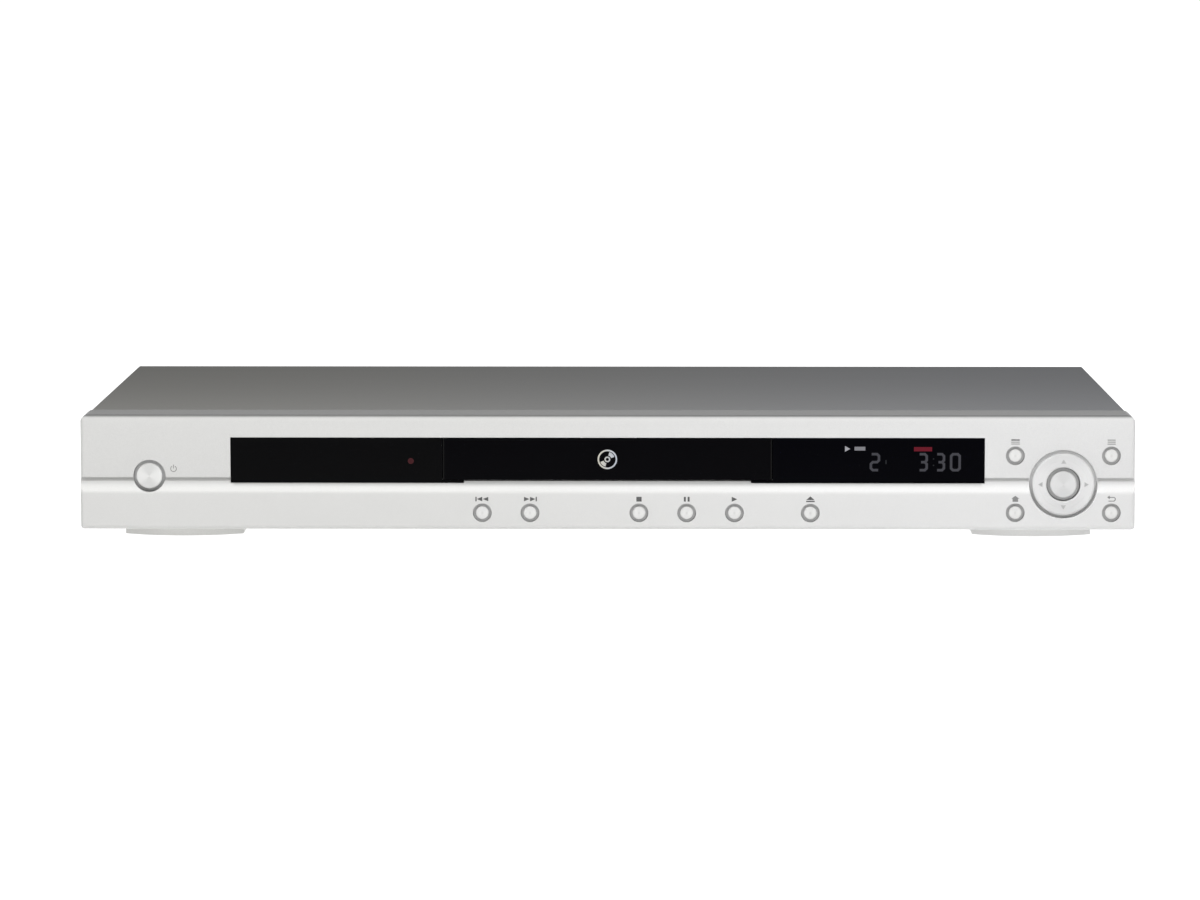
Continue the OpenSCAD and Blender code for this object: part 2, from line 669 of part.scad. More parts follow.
// Rear plate with its cut-outs and a flange folded forward at the foot
module rear_panel() in_case() color("darkgray") {
  top = cover_z - sheet - 0.3;
  low = sheet + sheet_gap;
  difference() {
    union() {
      block(-inner_half + sheet + 0.2, inner_half - sheet - 0.2, rear_y0, rear_y1, low, top);
      block(-inner_half + sheet + 3, inner_half - sheet - 3, rear_y0 - 9, rear_y0 + eps, low, low + sheet);
    }
    for (x = JACKS) bar_y(x, jack_z, jack_d / 2 + 0.35, rear_y0 - 1, rear_y1 + 1);
    block(hdmi_x - 8, hdmi_x + 8, rear_y0 - 1, rear_y1 + 1, hdmi_z - 3.2, hdmi_z + 3.2);
    along_y(rear_y0 - 1, rear_y1 + 1) polygon(round_rect(inlet_x - 12.7, inlet_x + 12.7,
      inlet_z - 7, inlet_z + 7, 2));
    for (f = BOARD_FEET) if (f[1] > rear_y0 - 13) bar_z(f[0], f[1], standoff_d / 2 + 0.5, 0, 4);
    for (x = LIP_SCREW_X) bar_y(x, cover_z - lip_h / 2, pilot_r, rear_y0 - 1, rear_y1 + 1);
    for (i = [0:13], j = [0:1]) block(-128 + i * 7, -124.5 + i * 7, rear_y0 - 1, rear_y1 + 1,
      18 + j * 10, 25 + j * 10);
    for (f = BOARD_FEET) bar_z(f[0], f[1], 3.2, 0, low - eps);
  }
}

// A D-shaped plan, round at the front
module foot_plan(inset) intersection() {
  translate([0, front_foot_y + foot_r]) circle(r = foot_r - inset, $fn = 96);
  translate([inset - foot_w / 2, front_foot_y]) square([foot_w - 2 * inset, front_foot_l - inset]);
}

module front_feet() in_case() color("lightgray") for (s = [-1, 1]) translate([s * foot_x, 0, 0]) {
  along_z(pad_h - foot_h, pad_h - foot_h + 0.6) foot_plan(0.5);
  along_z(pad_h - foot_h + 0.6, -eps) foot_plan(0);
  for (p = [-1, 1]) bar_z(p * 12, FOOT_PEG_Y, 1.7, -0.5, sheet + 1.6);
}

module foot_pads() in_case() color("silver") for (s = [-1, 1]) translate([s * foot_x, 0, 0])
  along_z(-foot_h, pad_h - foot_h - eps) foot_plan(3);

module rear_feet() in_case() color("dimgray") for (s = [-1, 1])
  turned_z(s * foot_x, rear_foot_y, [
    [0, -foot_h], [rear_foot_d / 2 - 1, -foot_h], [rear_foot_d / 2, -foot_h + 1],
    [rear_foot_d / 2 - 0.4, -eps], [2.2, -eps], [2.2, sheet + 0.1],
    [2.8, sheet + 0.2], [1.6, sheet + 2], [0, sheet + 2]]);

// ---- Buttons and control board ----

nav_pivot_y = nav_flange_y + 2.1;
gimbal_r = 10.9;
gimbal_w = 1.3;
gimbal_back = 1.1;
gimbal_pin_r = 0.55;
ear_r = nav_bore / 2 + 1.7;
nav_flange_t = 1;
nav_flange_r = nav_bore / 2 + 1.2;

// One of the two ears that carry the navigation ring's gimbal
module nav_ears(s) {
  x0 = nav_x + s * ear_r;
  x1 = nav_x + s * (ear_r + 1.8);
  difference() {
    block(min(x0, x1), max(x0, x1), upper_in - 1.4, nav_pivot_y + 1.2, nav_z - 1.6, nav_z + 1.6);
    bar_x(nav_pivot_y, nav_z, gimbal_pin_r + axle_gap, min(x0, x1) - 1, max(x0, x1) + 1);
  }
}

// A round button: domed cap, ring below the face, flange behind the wall and stem to its switch
module key(k, proud) {
  cap = k[5] / 2;
  body = k[4] / 2 - key_gap;
  f = k[3];
  back = f + panel_wall + 0.1;
  turned_y(k[1], k[2], [[0, f - proud], [cap * 0.55, f - proud + 0.05], [cap - 0.35, f - proud + 0.2],
    [cap, f - proud + 0.6], [cap, f + moat_deep], [body, f + moat_deep], [body, back],
    [body + flange_over + key_gap, back], [body + flange_over + key_gap, back + flange_t],
    [stem_r, back + flange_t], [stem_r, stem_end], [0, stem_end]]);
}

module key_node(i) in_case() color("whitesmoke") key(KEYS[i], i == 0 ? 1.2 : cap_proud);

// Four-way ring: dished face, skirt in the bore, flange, four presses and two pivot lugs
module navigation_ring() in_case() color("whitesmoke") {
  ri = nav_id / 2;
  ro = nav_od / 2;
  skirt = nav_bore / 2 - nav_play;
  back = nav_flange_y + nav_flange_t;
  turned_y(nav_x, nav_z, [[ri, 0.4], [ri + 0.5, 0.05], [(ri + ro) / 2, 0.3], [ro - 0.6, 0.05], [ro, 0.5],
    [ro, ledge + moat_deep], [skirt, ledge + moat_deep], [skirt, nav_flange_y], [nav_flange_r, nav_flange_y],
    [nav_flange_r, back], [ri, back]]);
  for (a = [0:90:270])
    bar_y(nav_x + nav_press_r * cos(a), nav_z + nav_press_r * sin(a), 1.2,
      back - eps, board_y - switch_h - nav_tip_gap);
  for (s = [-1, 1]) {
    z0 = nav_z + s * (gimbal_r + gimbal_w + 0.4);
    z1 = nav_z + s * nav_flange_r;
    z2 = nav_z + s * (gimbal_r + 0.1);
    block(nav_x - 1.2, nav_x + 1.2, back - eps, nav_pivot_y + 0.9, min(z0, z1), max(z0, z1));
    bar_z(nav_x, nav_pivot_y, gimbal_pin_r, min(z0, z2) - (s < 0 ? eps : 0), max(z0, z2) + (s > 0 ? eps : 0));
  }
}

// Flat ring between the ears of the panel and the lugs of the navigation ring
module ring_gimbal() in_case() color("darkgray") {
  difference() {
    bar_y(nav_x, nav_z, gimbal_r + gimbal_w, nav_pivot_y - 0.5, nav_pivot_y + gimbal_back);
    bar_y(nav_x, nav_z, gimbal_r, nav_pivot_y - 1, nav_pivot_y + 2);
    for (s = [-1, 1]) block(nav_x - gimbal_pin_r - axle_gap, nav_x + gimbal_pin_r + axle_gap,
      nav_pivot_y - 1, nav_pivot_y + gimbal_pin_r + axle_gap, nav_z + s * (gimbal_r + gimbal_w / 2) - gimbal_w,
      nav_z + s * (gimbal_r + gimbal_w / 2) + gimbal_w);
  }
  for (s = [-1, 1]) {
    x0 = nav_x + s * (gimbal_r + gimbal_w - 0.2);
    x1 = nav_x + s * (ear_r + 1.5);
    bar_x(nav_pivot_y, nav_z, gimbal_pin_r, min(x0, x1), max(x0, x1));
  }
}

module enter_button() in_case() color("whitesmoke") {
  cap = enter_cap / 2;
  body = nav_id / 2 - 0.35;
  back = nav_flange_y + nav_flange_t + 0.5;
  turned_y(nav_x, nav_z, [
    [0, -0.1], [cap * 0.6, -0.05], [cap - 0.4, 0.15], [cap, 0.6], [cap, moat_deep + 0.8],
    [body, moat_deep + 0.8], [body, back], [nav_id / 2 + 0.9, back], [nav_id / 2 + 0.9, back + flange_t],
    [stem_r, back + flange_t], [stem_r, stem_end], [0, stem_end]]);
}

SWITCHES = concat([for (k = KEYS) [k[1], k[2]]], [[nav_x, nav_z]],
  [for (a = [0:90:270]) [nav_x + nav_press_r * cos(a), nav_z + nav_press_r * sin(a)]]);

module tact_switches() in_case() color("black") for (s = SWITCHES) {
  block(s[0] - switch_w / 2, s[0] + switch_w / 2, board_y - switch_body_h, board_y - eps,
    s[1] - switch_w / 2, s[1] + switch_w / 2);
  bar_y(s[0], s[1], 1.7, board_y - switch_h, board_y - switch_body_h);
}

// Board behind the panel, notched for the tray, with the socket of the flat cable
module control_board() in_case() color("darkgreen") {
  difference() {
    block(-board_half, board_half, board_y, board_rear, board_z0, board_z1);
    block(-notch_half, notch_half, board_y - 1, board_rear + 1, notch_z, panel_h);
    for (b = BOARD_BOSSES) bar_y(b[0], b[1], 1.6, board_y - 1, board_rear + 1);
  }
  block(CABLE_X - 12, CABLE_X + 12, board_rear - eps, board_rear + 4, CABLE_Z - 2.6, CABLE_Z - 0.25);
}
CABLE_Z = window_z + 3;

// Flat display tube in its holder
module display_module() in_case() color([0.15, 0.18, 0.2]) {
  x = display_x;
  hw = display_w / 2;
  hh = display_h / 2;
  along_y(pocket_y + 0.6, board_y - 3)
    polygon(round_rect(x - hw, x + hw, window_z - hh, window_z + hh, 0.8, 3));
  block(x - hw + 2, x + hw - 2, board_y - 3 - eps, board_y - eps, window_z - hh + 1, window_z + hh - 1);
}

module indicator_led() in_case() color("red")
  turned_y(led_x, led_z, [[0, pocket_y + 0.2], [led_d * 0.35, pocket_y + 0.6], [led_d / 2, pocket_y + 1.6],
    [led_d / 2, board_y - 4], [led_d / 2 + 0.5, board_y - 4], [led_d / 2 + 0.5, board_y - 3],
    [0.6, board_y - 3], [0.6, board_y - eps], [0, board_y - eps]]);

// ---- Windows' door and disc tray ----

module tray_door() in_case() color([0.04, 0.04, 0.05]) {
  clip_z = rim_z + 2.3;
  difference() {
    along_y(ledge, ledge + door_t) polygon(round_rect(-door_x, door_x, door_z0, door_z1, 0.4, 3));
    // Hollow behind the face
    block(-door_x + 6, door_x - 6, ledge + door_t - 0.8, ledge + door_t + 1, door_z0 + 2, rim_z);
  }
  for (s = [-1, 1]) along_x(s * 43 - 4, s * 43 + 4) polygon([[ledge + door_t - eps, clip_z],
    [tray_y0 + front_wall_t + 0.15, clip_z], [tray_y0 + front_wall_t + 0.15, clip_z - 0.8],
    [tray_y0 + front_wall_t + 1.6, clip_z], [tray_y0 + front_wall_t + 1, clip_z + 1.2],
    [ledge + door_t - eps, clip_z + 1.2]]);
}

function rack_tooth(y) = let (
  root = pitch / 4 + ded_h * tan(20) - backlash / 4,
  tip = pitch / 4 - add_h * tan(20) - backlash / 4,
  x0 = rack_x - ded_h, x1 = rack_x + add_h)
  [[x0, y - root], [x1, y - tip], [x1, y + tip], [x0, y + root]];

// Outline of the rack under the tray's left side, with a gap at the gear's middle
module rack_plan() {
  y0 = gear_y - 10;
  y1 = gear_y + tray_travel + 2.5;
  n = floor((y1 - gear_y - pitch) / pitch);
  teeth = [for (i = [-4:n]) each rack_tooth(gear_y + pitch / 2 + i * pitch)];
  polygon(concat([[rack_x - ded_h - rack_back, y0], [rack_x - ded_h, y0]], teeth,
    [[rack_x - ded_h, y1], [rack_x - ded_h - rack_back, y1]]));
}

// Outline of the hollow under the tray's rim, outside the well and the slot
module tray_hollow() difference() {
  translate([tray_wall - tray_x, tray_y0 + front_wall_t])
    square([tray_w - 2 * tray_wall, tray_l - tray_wall - front_wall_t]);
  translate([0, disc_y]) circle(r = well_d / 2 + tray_wall);
  translate([-slot_w / 2 - tray_wall, disc_y]) square([slot_w + 2 * tray_wall, tray_l]);
  for (s = [-1, 1]) translate([s * tray_x, disc_y + well_d / 2]) square([30, 2], center = true);
}

// Tray with wells for both disc sizes, finger notches, runners and the rack
module disc_tray() in_case() color([0.12, 0.12, 0.13]) difference() {
  union() {
    difference() {
      along_z(tray_under, rim_z) polygon(concat([[-tray_x, tray_y0], [tray_x, tray_y0]],
        arc(tray_x - 5, tray_y1 - 5, 5, 0, 90, 6), arc(5 - tray_x, tray_y1 - 5, 5, 90, 180, 6)));
      along_z(tray_under - 1, rim_z - tray_wall) tray_hollow();
    }
    for (s = [-1, 1]) block(s > 0 ? tray_x - runner_w : -tray_x, s > 0 ? tray_x : runner_w - tray_x,
      tray_y0, tray_y1 - 5, runner_z, tray_under + eps);
    along_z(rack_z0, rim_z - tray_wall) rack_plan();
    block(4 - door_x, door_x - 4, tray_y0, tray_y0 + front_wall_t, open_z0 + 0.6, rim_z + 2.1);
  }
  bar_z(0, disc_y, well_d / 2, well_z, rim_z + 1);
  bar_z(0, disc_y, small_well_d / 2, small_z, rim_z + 1);
  bar_z(0, disc_y, slot_w / 2, runner_z, rim_z + 1);
  block(-slot_w / 2, slot_w / 2, disc_y, tray_y1 + 1, runner_z, rim_z + 1);
  for (s = [-1, 1]) intersection() {
    bar_z(s * 52, disc_y - 44, 13, small_z, rim_z + 1);
    block(-tray_x + 3, tray_x - 3, tray_y0 + front_wall_t + 1, disc_y, small_z, rim_z + 1);
  }
}

// ---- Loading train ----

// Involute function and half the tooth's angle at radius r, in degrees
function inv(a) = tan(a) * 180 / PI - a;
function half_tooth(n, r) = let (rp = tooth_m * n / 2, rb = rp * cos(20))
  90 / n - backlash / 4 / rp * 180 / PI + inv(20) - inv(acos(min(1, rb / max(r, rb))));

// A spur gear's outline with one tooth at the angle phase
function gear_points(n, phase) = let (
  rp = tooth_m * n / 2, rb = rp * cos(20), root = rp - ded_h, tip = rp + add_h,
  radii = [root, max(rb, root + 0.02), rp, (rp + tip) / 2, tip])
  [for (i = [0:n - 1], j = [0:9]) let (
    r = j < 5 ? radii[j] : radii[9 - j],
    a = phase + 360 * i / n + (j < 5 ? -1 : 1) * half_tooth(n, r))
    [r * cos(a), r * sin(a)]];

module gear(x, y, n, phase, z0, z1) translate([x, y, 0]) along_z(z0, z1) polygon(gear_points(n, phase));

// A grooved pulley for the belt, r at the groove's bottom
module pulley(x, y, r) turned_z(x, y, [[0, belt_z - pulley_t / 2], [r + pulley_rim, belt_z - pulley_t / 2],
  [r + pulley_rim, belt_z - belt_t / 2 - 0.3], [r, belt_z - belt_t / 2 - 0.1], [r, belt_z + belt_t / 2 + 0.1],
  [r + pulley_rim, belt_z + belt_t / 2 + 0.3], [r + pulley_rim, belt_z + pulley_t / 2],
  [0, belt_z + pulley_t / 2]]);

module drive_gear() in_case() color("ivory") difference() {
  union() {
    gear(gear_x, gear_y, wheel_n, train_a, wheel_z, wheel_z + wheel_t);
    bar_z(gear_x, gear_y, 4.2, wheel_z + wheel_t - eps, rack_z0 - 0.2);
    gear(gear_x, gear_y, rack_pinion_n, 180, rack_z0 - 0.2 - eps, tray_under - 0.4);
  }
  bar_z(gear_x, gear_y, post_d / 2 + axle_gap, wheel_z - 1, tray_under);
  for (a = [0:72:359])
    bar_z(gear_x + 7.4 * cos(a), gear_y + 7.4 * sin(a), 1.6, wheel_z - 1, wheel_z + wheel_t + 1);
}

module pulley_gear() in_case() color("ivory") difference() {
  union() {
    gear(pulley_x, pulley_y, pinion_n, train_a + 180 + 180 / pinion_n, wheel_z - 0.2, wheel_z + wheel_t + 0.2);
    bar_z(pulley_x, pulley_y, 3.6, wheel_z + wheel_t, belt_z - pulley_t / 2 + eps);
    pulley(pulley_x, pulley_y, pulley_r);
  }
  bar_z(pulley_x, pulley_y, post_d / 2 + axle_gap, wheel_z - 1, belt_z + pulley_t);
}

module loading_motor() in_case() color("silver") {
  z0 = loader_z + loader_floor + 0.05;
  difference() {
    turned_z(motor_x, motor_y, [[0, z0], [load_motor_d / 2 - 1, z0], [load_motor_d / 2, z0 + 1],
      [load_motor_d / 2, motor_z1 - 1], [load_motor_d / 2 - 0.6, motor_z1 - 0.4], [0, motor_z1 - 0.4]]);
    bar_z(motor_x, motor_y, 1 + axle_gap, motor_z1 - 6, motor_z1 + 1);
  }
}

module motor_pulley() in_case() color("ivory") {
  pulley(motor_x, motor_y, motor_pulley_r);
  bar_z(motor_x, motor_y, 1, motor_z1 - 5.6, belt_z);
}

// Round loop of the belt at a gap from both grooves
module belt_loop(gap) hull() {
  translate([motor_x, motor_y]) circle(r = motor_pulley_r + gap);
  translate([pulley_x, pulley_y]) circle(r = pulley_r + gap);
}

module drive_belt() in_case() color("black") along_z(belt_z - belt_t / 2, belt_z + belt_t / 2) difference() {
  belt_loop(axle_gap + belt_t);
  belt_loop(axle_gap);
}

// A slot's outline round the points a and b
function capsule(a, b, r) = let (t = atan2(b[1] - a[1], b[0] - a[0]))
  concat(arc(a[0], a[1], r, t + 90, t + 270, 8), arc(b[0], b[1], r, t - 90, t + 90, 8));

// Bar that lifts and lowers the traverse by two sloping slots
module cam_slider() in_case() color([0.85, 0.82, 0.75]) along_y(cam_y, cam_y + cam_t) difference() {
  translate([-cam_pin_x - cam_travel - 7, cam_z0]) square([2 * cam_pin_x + cam_travel + 14, cam_h]);
  for (s = [-1, 1]) {
    top = [s * cam_pin_x, hinge_z];
    low = [s * cam_pin_x - cam_travel, hinge_z - pin_drop];
    r = cam_pin_r + cam_gap;
    polygon(capsule(top, low, r));
    polygon(capsule(top, [top[0] + 2.5, top[1]], r));
    polygon(capsule(low, [low[0] - 2.5, low[1]], r));
  }
}

// ---- Loader ----

// Moulded bed of the loader: rails, hatch for the traverse, gear posts, cam guides and hinge blocks
module loader_frame() in_case() color([0.2, 0.2, 0.22]) {
  floor_z = loader_z + loader_floor;
  rail_z = runner_z - runner_gap;
  outer = guide_x + guide_t;
  difference() {
    union() {
      difference() {
        block(-guide_x - eps, guide_x + eps, loader_y0, loader_y1, loader_z, floor_z);
        block(-hatch_half, hatch_half, hatch_y0, hatch_y1, loader_z - 1, floor_z + 1);
      }
      for (s = [-1, 1]) {
        block(s > 0 ? guide_x : -outer, s > 0 ? outer : -guide_x, loader_y0, loader_y1, loader_z, bridge_z);
        block(s > 0 ? guide_x - rail_w : -guide_x - eps, s > 0 ? guide_x + eps : rail_w - guide_x,
          loader_y0, loader_y1, rail_z - rail_t, rail_z);
        // Webs under the rail and hooks over the tray's rim
        for (y = [loader_y0 + 26, loader_y0 + 70, loader_y0 + 112])
          block(s > 0 ? guide_x - rail_w : -guide_x - eps, s > 0 ? guide_x + eps : rail_w - guide_x,
            y, y + 1.5, floor_z - eps, rail_z - rail_t + eps);
        for (y = [loader_y0, disc_y + 30]) block(s > 0 ? guide_x - 2.6 : -guide_x - eps,
          s > 0 ? guide_x + eps : 2.6 - guide_x, y, y + 12, rim_z + 0.3, bridge_z);
        // Block that carries the traverse's hinge pin
        block(s > 0 ? frame_half + 0.6 : -frame_half - 5.6, s > 0 ? frame_half + 5.6 : -frame_half - 0.6,
          hinge_y - 4, hinge_y + 4, loader_z, hinge_z + 4);
      }
      for (f = LOADER_FEET) {
        bar_z(f[0], f[1], foot_tab / 2, loader_z, floor_z + 0.6);
        block(min(f[0], sign(f[0]) * outer), max(f[0], sign(f[0]) * outer), f[1] - foot_tab / 2,
          f[1] + foot_tab / 2, loader_z, floor_z + 0.6);
      }
      block(-outer, outer, loader_y0, loader_y0 + 1.6, loader_z, wheel_z - 1.2);
      block(-outer, outer, loader_y1 - 2, loader_y1, loader_z, bridge_z);
      block(-guide_x, guide_x, cam_y - 1.5, cam_y - 0.15, floor_z - eps, hinge_z + 1);
      for (x = [-56, -14, 28])
        block(x, x + 24, cam_y + cam_t + 0.15, cam_y + cam_t + 1.4, floor_z - eps, floor_z + 1.6);
      // Posts of the drive gear and the pulley gear, each with its shoulder
      bar_z(gear_x, gear_y, post_d / 2 + 1.5, floor_z - eps, wheel_z - axle_gap);
      bar_z(gear_x, gear_y, post_d / 2, floor_z, tray_under - 0.5);
      bar_z(pulley_x, pulley_y, post_d / 2 + 1.5, floor_z - eps, wheel_z - 0.2 - axle_gap);
      bar_z(pulley_x, pulley_y, post_d / 2, floor_z, belt_z + pulley_t / 2 + 0.5);
    }
    for (s = [-1, 1]) bar_x(hinge_y, hinge_z, hinge_d / 2 + axle_gap, s > 0 ? frame_half : -frame_half - 6,
      s > 0 ? frame_half + 6 : -frame_half);
    for (f = LOADER_FEET) bar_z(f[0], f[1], 1.6, loader_z - 1, floor_z + 2);
    bar_z(motor_x, motor_y, 5, loader_z - 1, floor_z + 1);
  }
}

// Bridge over the tray, with a collar that the clamper hangs in
module clamp_bridge() in_case() color([0.75, 0.76, 0.78]) {
  top = bridge_z + bridge_t;
  half = 17;
  outer = guide_x + guide_t;
  difference() {
    union() {
      along_z(bridge_z, top) polygon(round_rect(-outer, outer, disc_y - half, disc_y + half, 3, 4));
      for (s = [-1, 1]) block(-outer + 6, outer - 6, disc_y + s * (half - 0.6) - 0.6,
        disc_y + s * (half - 0.6) + 0.6, bridge_z, top + 3);
      bar_z(0, disc_y, clamper_d / 2 + 2.4, bridge_z, top + 3.4);
    }
    bar_z(0, disc_y, clamper_d / 2 + 1, top, top + 4);
    bar_z(0, disc_y, 12.4, bridge_z - 1, top + 1);
    for (s = [-1, 1]) bar_z(s * (outer - 1.25), disc_y, 0.9, bridge_z - 1, top + 1);
    for (s = [-1, 1]) block(s * 42 - 12, s * 42 + 12, disc_y - 8, disc_y + 8, bridge_z - 1, top + 1);
  }
}

module disc_clamper() in_case() color([0.9, 0.9, 0.9]) {
  r = clamper_d / 2;
  foot = seat_z + turntable_gap;
  rest = bridge_z + bridge_t + 0.3;
  turned_z(0, disc_y, [[0, foot + 2.8], [8.8, foot + 2.8], [8.8, foot], [11.6, foot], [11.6, rest], [r, rest],
    [r, rest + 1.4], [9.6, rest + 1.4], [9, rest + 2.6], [0, rest + 2.6]]);
}

// Plastic frame that swings about the rear hinge and carries the deck on four bushes
module traverse_frame() in_case() color([0.25, 0.25, 0.27]) {
  z1 = frame_z0 + frame_t;
  difference() {
    along_z(frame_z0, z1) polygon(round_rect(-frame_half, frame_half, frame_y0, hinge_y + 2.4, 2, 3));
    difference() {
      block(-frame_in, frame_in, frame_y0 + 5, hinge_y - 4, frame_z0 - 1, z1 + 1);
      for (b = BUSHES)
        block(b[0] - bush_tab, b[0] + bush_tab, b[1] - bush_tab, b[1] + bush_tab, frame_z0 - 2, z1 + 2);
    }
  }
  for (b = BUSHES) bar_z(b[0], b[1], 1.2, z1 - 1, deck_z0 + deck_t + 1.4);
  for (s = [-1, 1]) {
    bar_y(s * cam_pin_x, hinge_z, cam_pin_r, cam_y + 0.2, frame_y0 + 1);
    bar_x(hinge_y, hinge_z, hinge_d / 2, s > 0 ? frame_half - 1 : -frame_half - 5.2,
      s > 0 ? frame_half + 5.2 : 1 - frame_half);
  }
}

// Steel deck with folded edges, motor seat and rod brackets
module mech_deck() in_case() color("silver") {
  z1 = deck_z0 + deck_t;
  difference() {
    union() {
      block(-deck_half, deck_half, deck_y0, deck_y1, deck_z0, z1);
      for (s = [-1, 1]) block(s > 0 ? deck_half - 1 : -deck_half, s > 0 ? deck_half : 1 - deck_half,
        deck_y0 + 12, deck_y1 - 10, deck_z0, z1 + 1.3);
      for (x = [-rod_x, rod_x], y = [bay_y0 - 3, bay_y1])
        block(x - 3, x + 3, y, y + 3, rod_z - 2.6, deck_z0 + eps);
      block(screw_x - 2.6, screw_x + 2.6, bay_y0 - 3, bay_y0, rod_z - 2.6, deck_z0 + eps);
    }
    block(-bay_half, bay_half, bay_y0, bay_y1, deck_z0 - 8, z1 + 2);
    bar_z(0, disc_y, 6.5, deck_z0 - 1, z1 + 1);
    for (b = BUSHES) bar_z(b[0], b[1], 1.95, deck_z0 - 1, z1 + 1);
    for (x = [-rod_x, rod_x]) bar_y(x, rod_z, rod_d / 2 + 0.02, bay_y0 - 2.4, bay_y1 + 2.4);
    bar_y(screw_x, rod_z, 0.8 + axle_gap, bay_y0 - 2.4, bay_y0 + 1);
  }
}

module damper_bushes() in_case() color("black") for (b = BUSHES)
  turned_z(b[0], b[1], [[1.25, frame_z0 + frame_t + eps], [3, frame_z0 + frame_t + eps], [3, deck_z0 - eps],
    [1.9, deck_z0 - eps], [1.9, deck_z0 + deck_t + eps], [3, deck_z0 + deck_t + eps],
    [3, deck_z0 + deck_t + 0.9], [1.25, deck_z0 + deck_t + 0.9]]);

module spindle_motor() in_case() color("silver") {
  r = spindle_motor_d / 2;
  difference() {
    turned_z(0, disc_y, [[0, deck_z0 - 8.2], [r - 1, deck_z0 - 8.2], [r, deck_z0 - 7.2], [r, deck_z0 - eps],
      [0, deck_z0 - eps]]);
    bar_z(0, disc_y, 1.2 + axle_gap, deck_z0 - 7, deck_z0 + 1);
  }
}

// Turntable with its rubber-edged seat, centring hub and shaft
module turntable() in_case() color([0.15, 0.15, 0.16]) {
  r = turntable_d / 2;
  turned_z(0, disc_y, [[0, deck_z0 - 6.8], [1.2, deck_z0 - 6.8], [1.2, deck_z0 + 0.2], [4, deck_z0 + 0.2],
    [4, seat_z - 2.2], [r - 0.4, seat_z - 2.2], [r, seat_z - 1.8], [r, seat_z],
    [9.2, seat_z], [9.2, seat_z - 0.4],
    [hub_d / 2, seat_z - 0.4], [hub_d / 2, seat_z + 1], [hub_d / 2 - 1.2, seat_z + 2.2], [3, seat_z + 2.2],
    [3, seat_z + 1.4], [0, seat_z + 1.4]]);
}

// Laser head on its two rods, with the arm that rides on the lead screw
module pickup_head() in_case() color([0.45, 0.45, 0.48]) difference() {
  union() {
    along_z(rod_z - 4.5, deck_z0 + 2) polygon([[-rod_x - 4, sled_y0 + 5], [-rod_x + 3, sled_y0],
      [rod_x - 3, sled_y0], [rod_x + 4, sled_y0 + 5], [rod_x + 4, sled_y1 - 4], [rod_x - 4, sled_y1],
      [4 - rod_x, sled_y1], [-rod_x - 4, sled_y1 - 4]]);
    along_z(deck_z0 + 2 - eps, seat_z - 3) polygon(round_rect(-12, 12, lens_y - 7.6, lens_y + 10, 2, 4));
    block(rod_x + 3, screw_x + 2.8, lens_y - 3, lens_y + 3, rod_z - 2.4, rod_z + 2);
  }
  for (x = [-rod_x, rod_x]) bar_y(x, rod_z, rod_d / 2 + axle_gap, sled_y0 - 1, sled_y1 + 1);
  bar_y(screw_x, rod_z, screw_d / 2 + 0.08, lens_y - 5, lens_y + 5);
  bar_z(0, lens_y, 4.4, seat_z - 5, seat_z);
}

module objective_lens() in_case() color([0.3, 0.35, 0.6])
  turned_z(0, lens_y, [[0, seat_z - 5 + eps], [4.2, seat_z - 5 + eps], [4.2, seat_z - 2.6], [3, seat_z - 2.4],
    [2.4, seat_z - 1.9], [1.2, seat_z - 1.6], [0, seat_z - 1.5]]);

module guide_rods() in_case() color("silver") for (x = [-rod_x, rod_x])
  bar_y(x, rod_z, rod_d / 2, bay_y0 - 2.3, bay_y1 + 2.3);

// Threaded rod, drawn as a twisted off-centre circle, with a journal at each end
module lead_screw() in_case() color("silver") {
  l = sled_motor_y - 1 - bay_y0 - 1;
  translate([screw_x, bay_y0 + 1, rod_z]) rotate([-90, 0, 0])
    linear_extrude(l, twist = -360 * l / screw_pitch, slices = ceil(6 * l / screw_pitch), $fn = 6)
      translate([0.2, 0]) circle(r = screw_d / 2 - 0.2, $fn = 6);
  bar_y(screw_x, rod_z, 0.8, bay_y0 - 2.2, bay_y0 + 1.5);
  bar_y(screw_x, rod_z, 0.8, sled_motor_y - 1.5, sled_motor_y + 4);
}

module sled_motor() in_case() color("silver") difference() {
  bar_y(screw_x, rod_z, sled_motor_r, sled_motor_y, bay_y1 - eps);
  bar_y(screw_x, rod_z, 0.8 + axle_gap, sled_motor_y - 1, sled_motor_y + 5);
}

// ---- Electronics and rear sockets ----

module main_board() in_case() color("darkgreen") difference() {
  union() {
    block(main_x0, main_x1, main_y0, main_y1, deck_z, board_top);
    block(CABLE_X - 12, CABLE_X + 12, main_y0 + 2, main_y0 + 7, board_top - eps, board_top + 2.4);
  }
  for (f = BOARD_FEET) bar_z(f[0], f[1], 1.6, deck_z - 1, board_top + 1);
}

// Decoder, memory, clock and driver packages, with the decoder's finned cooler
module main_chips() in_case() color([0.1, 0.1, 0.1]) {
  z = board_top + eps;
  d = decoder_w / 2;
  fin_x0 = decoder_x - d + 1;
  block(decoder_x - d, decoder_x + d, decoder_y - d, decoder_y + d, z, z + cooler_t);
  for (i = [0:6]) block(fin_x0 + i * fin_pitch, fin_x0 + fin_t + i * fin_pitch,
    decoder_y - d + 1, decoder_y + d - 1, z + cooler_t - eps, z + cooler_h);
  for (c = CHIPS) block(main_x0 + c[0] - c[2] / 2, main_x0 + c[0] + c[2] / 2,
    main_y0 + c[1] - c[3] / 2, main_y0 + c[1] + c[3] / 2, z, z + chip_t);
}

module power_board() in_case() color([0.75, 0.62, 0.35]) difference() {
  block(power_x0, power_x1, power_y0, power_y1, deck_z, board_top);
  for (f = BOARD_FEET) bar_z(f[0], f[1], 1.6, deck_z - 1, board_top + 1);
}

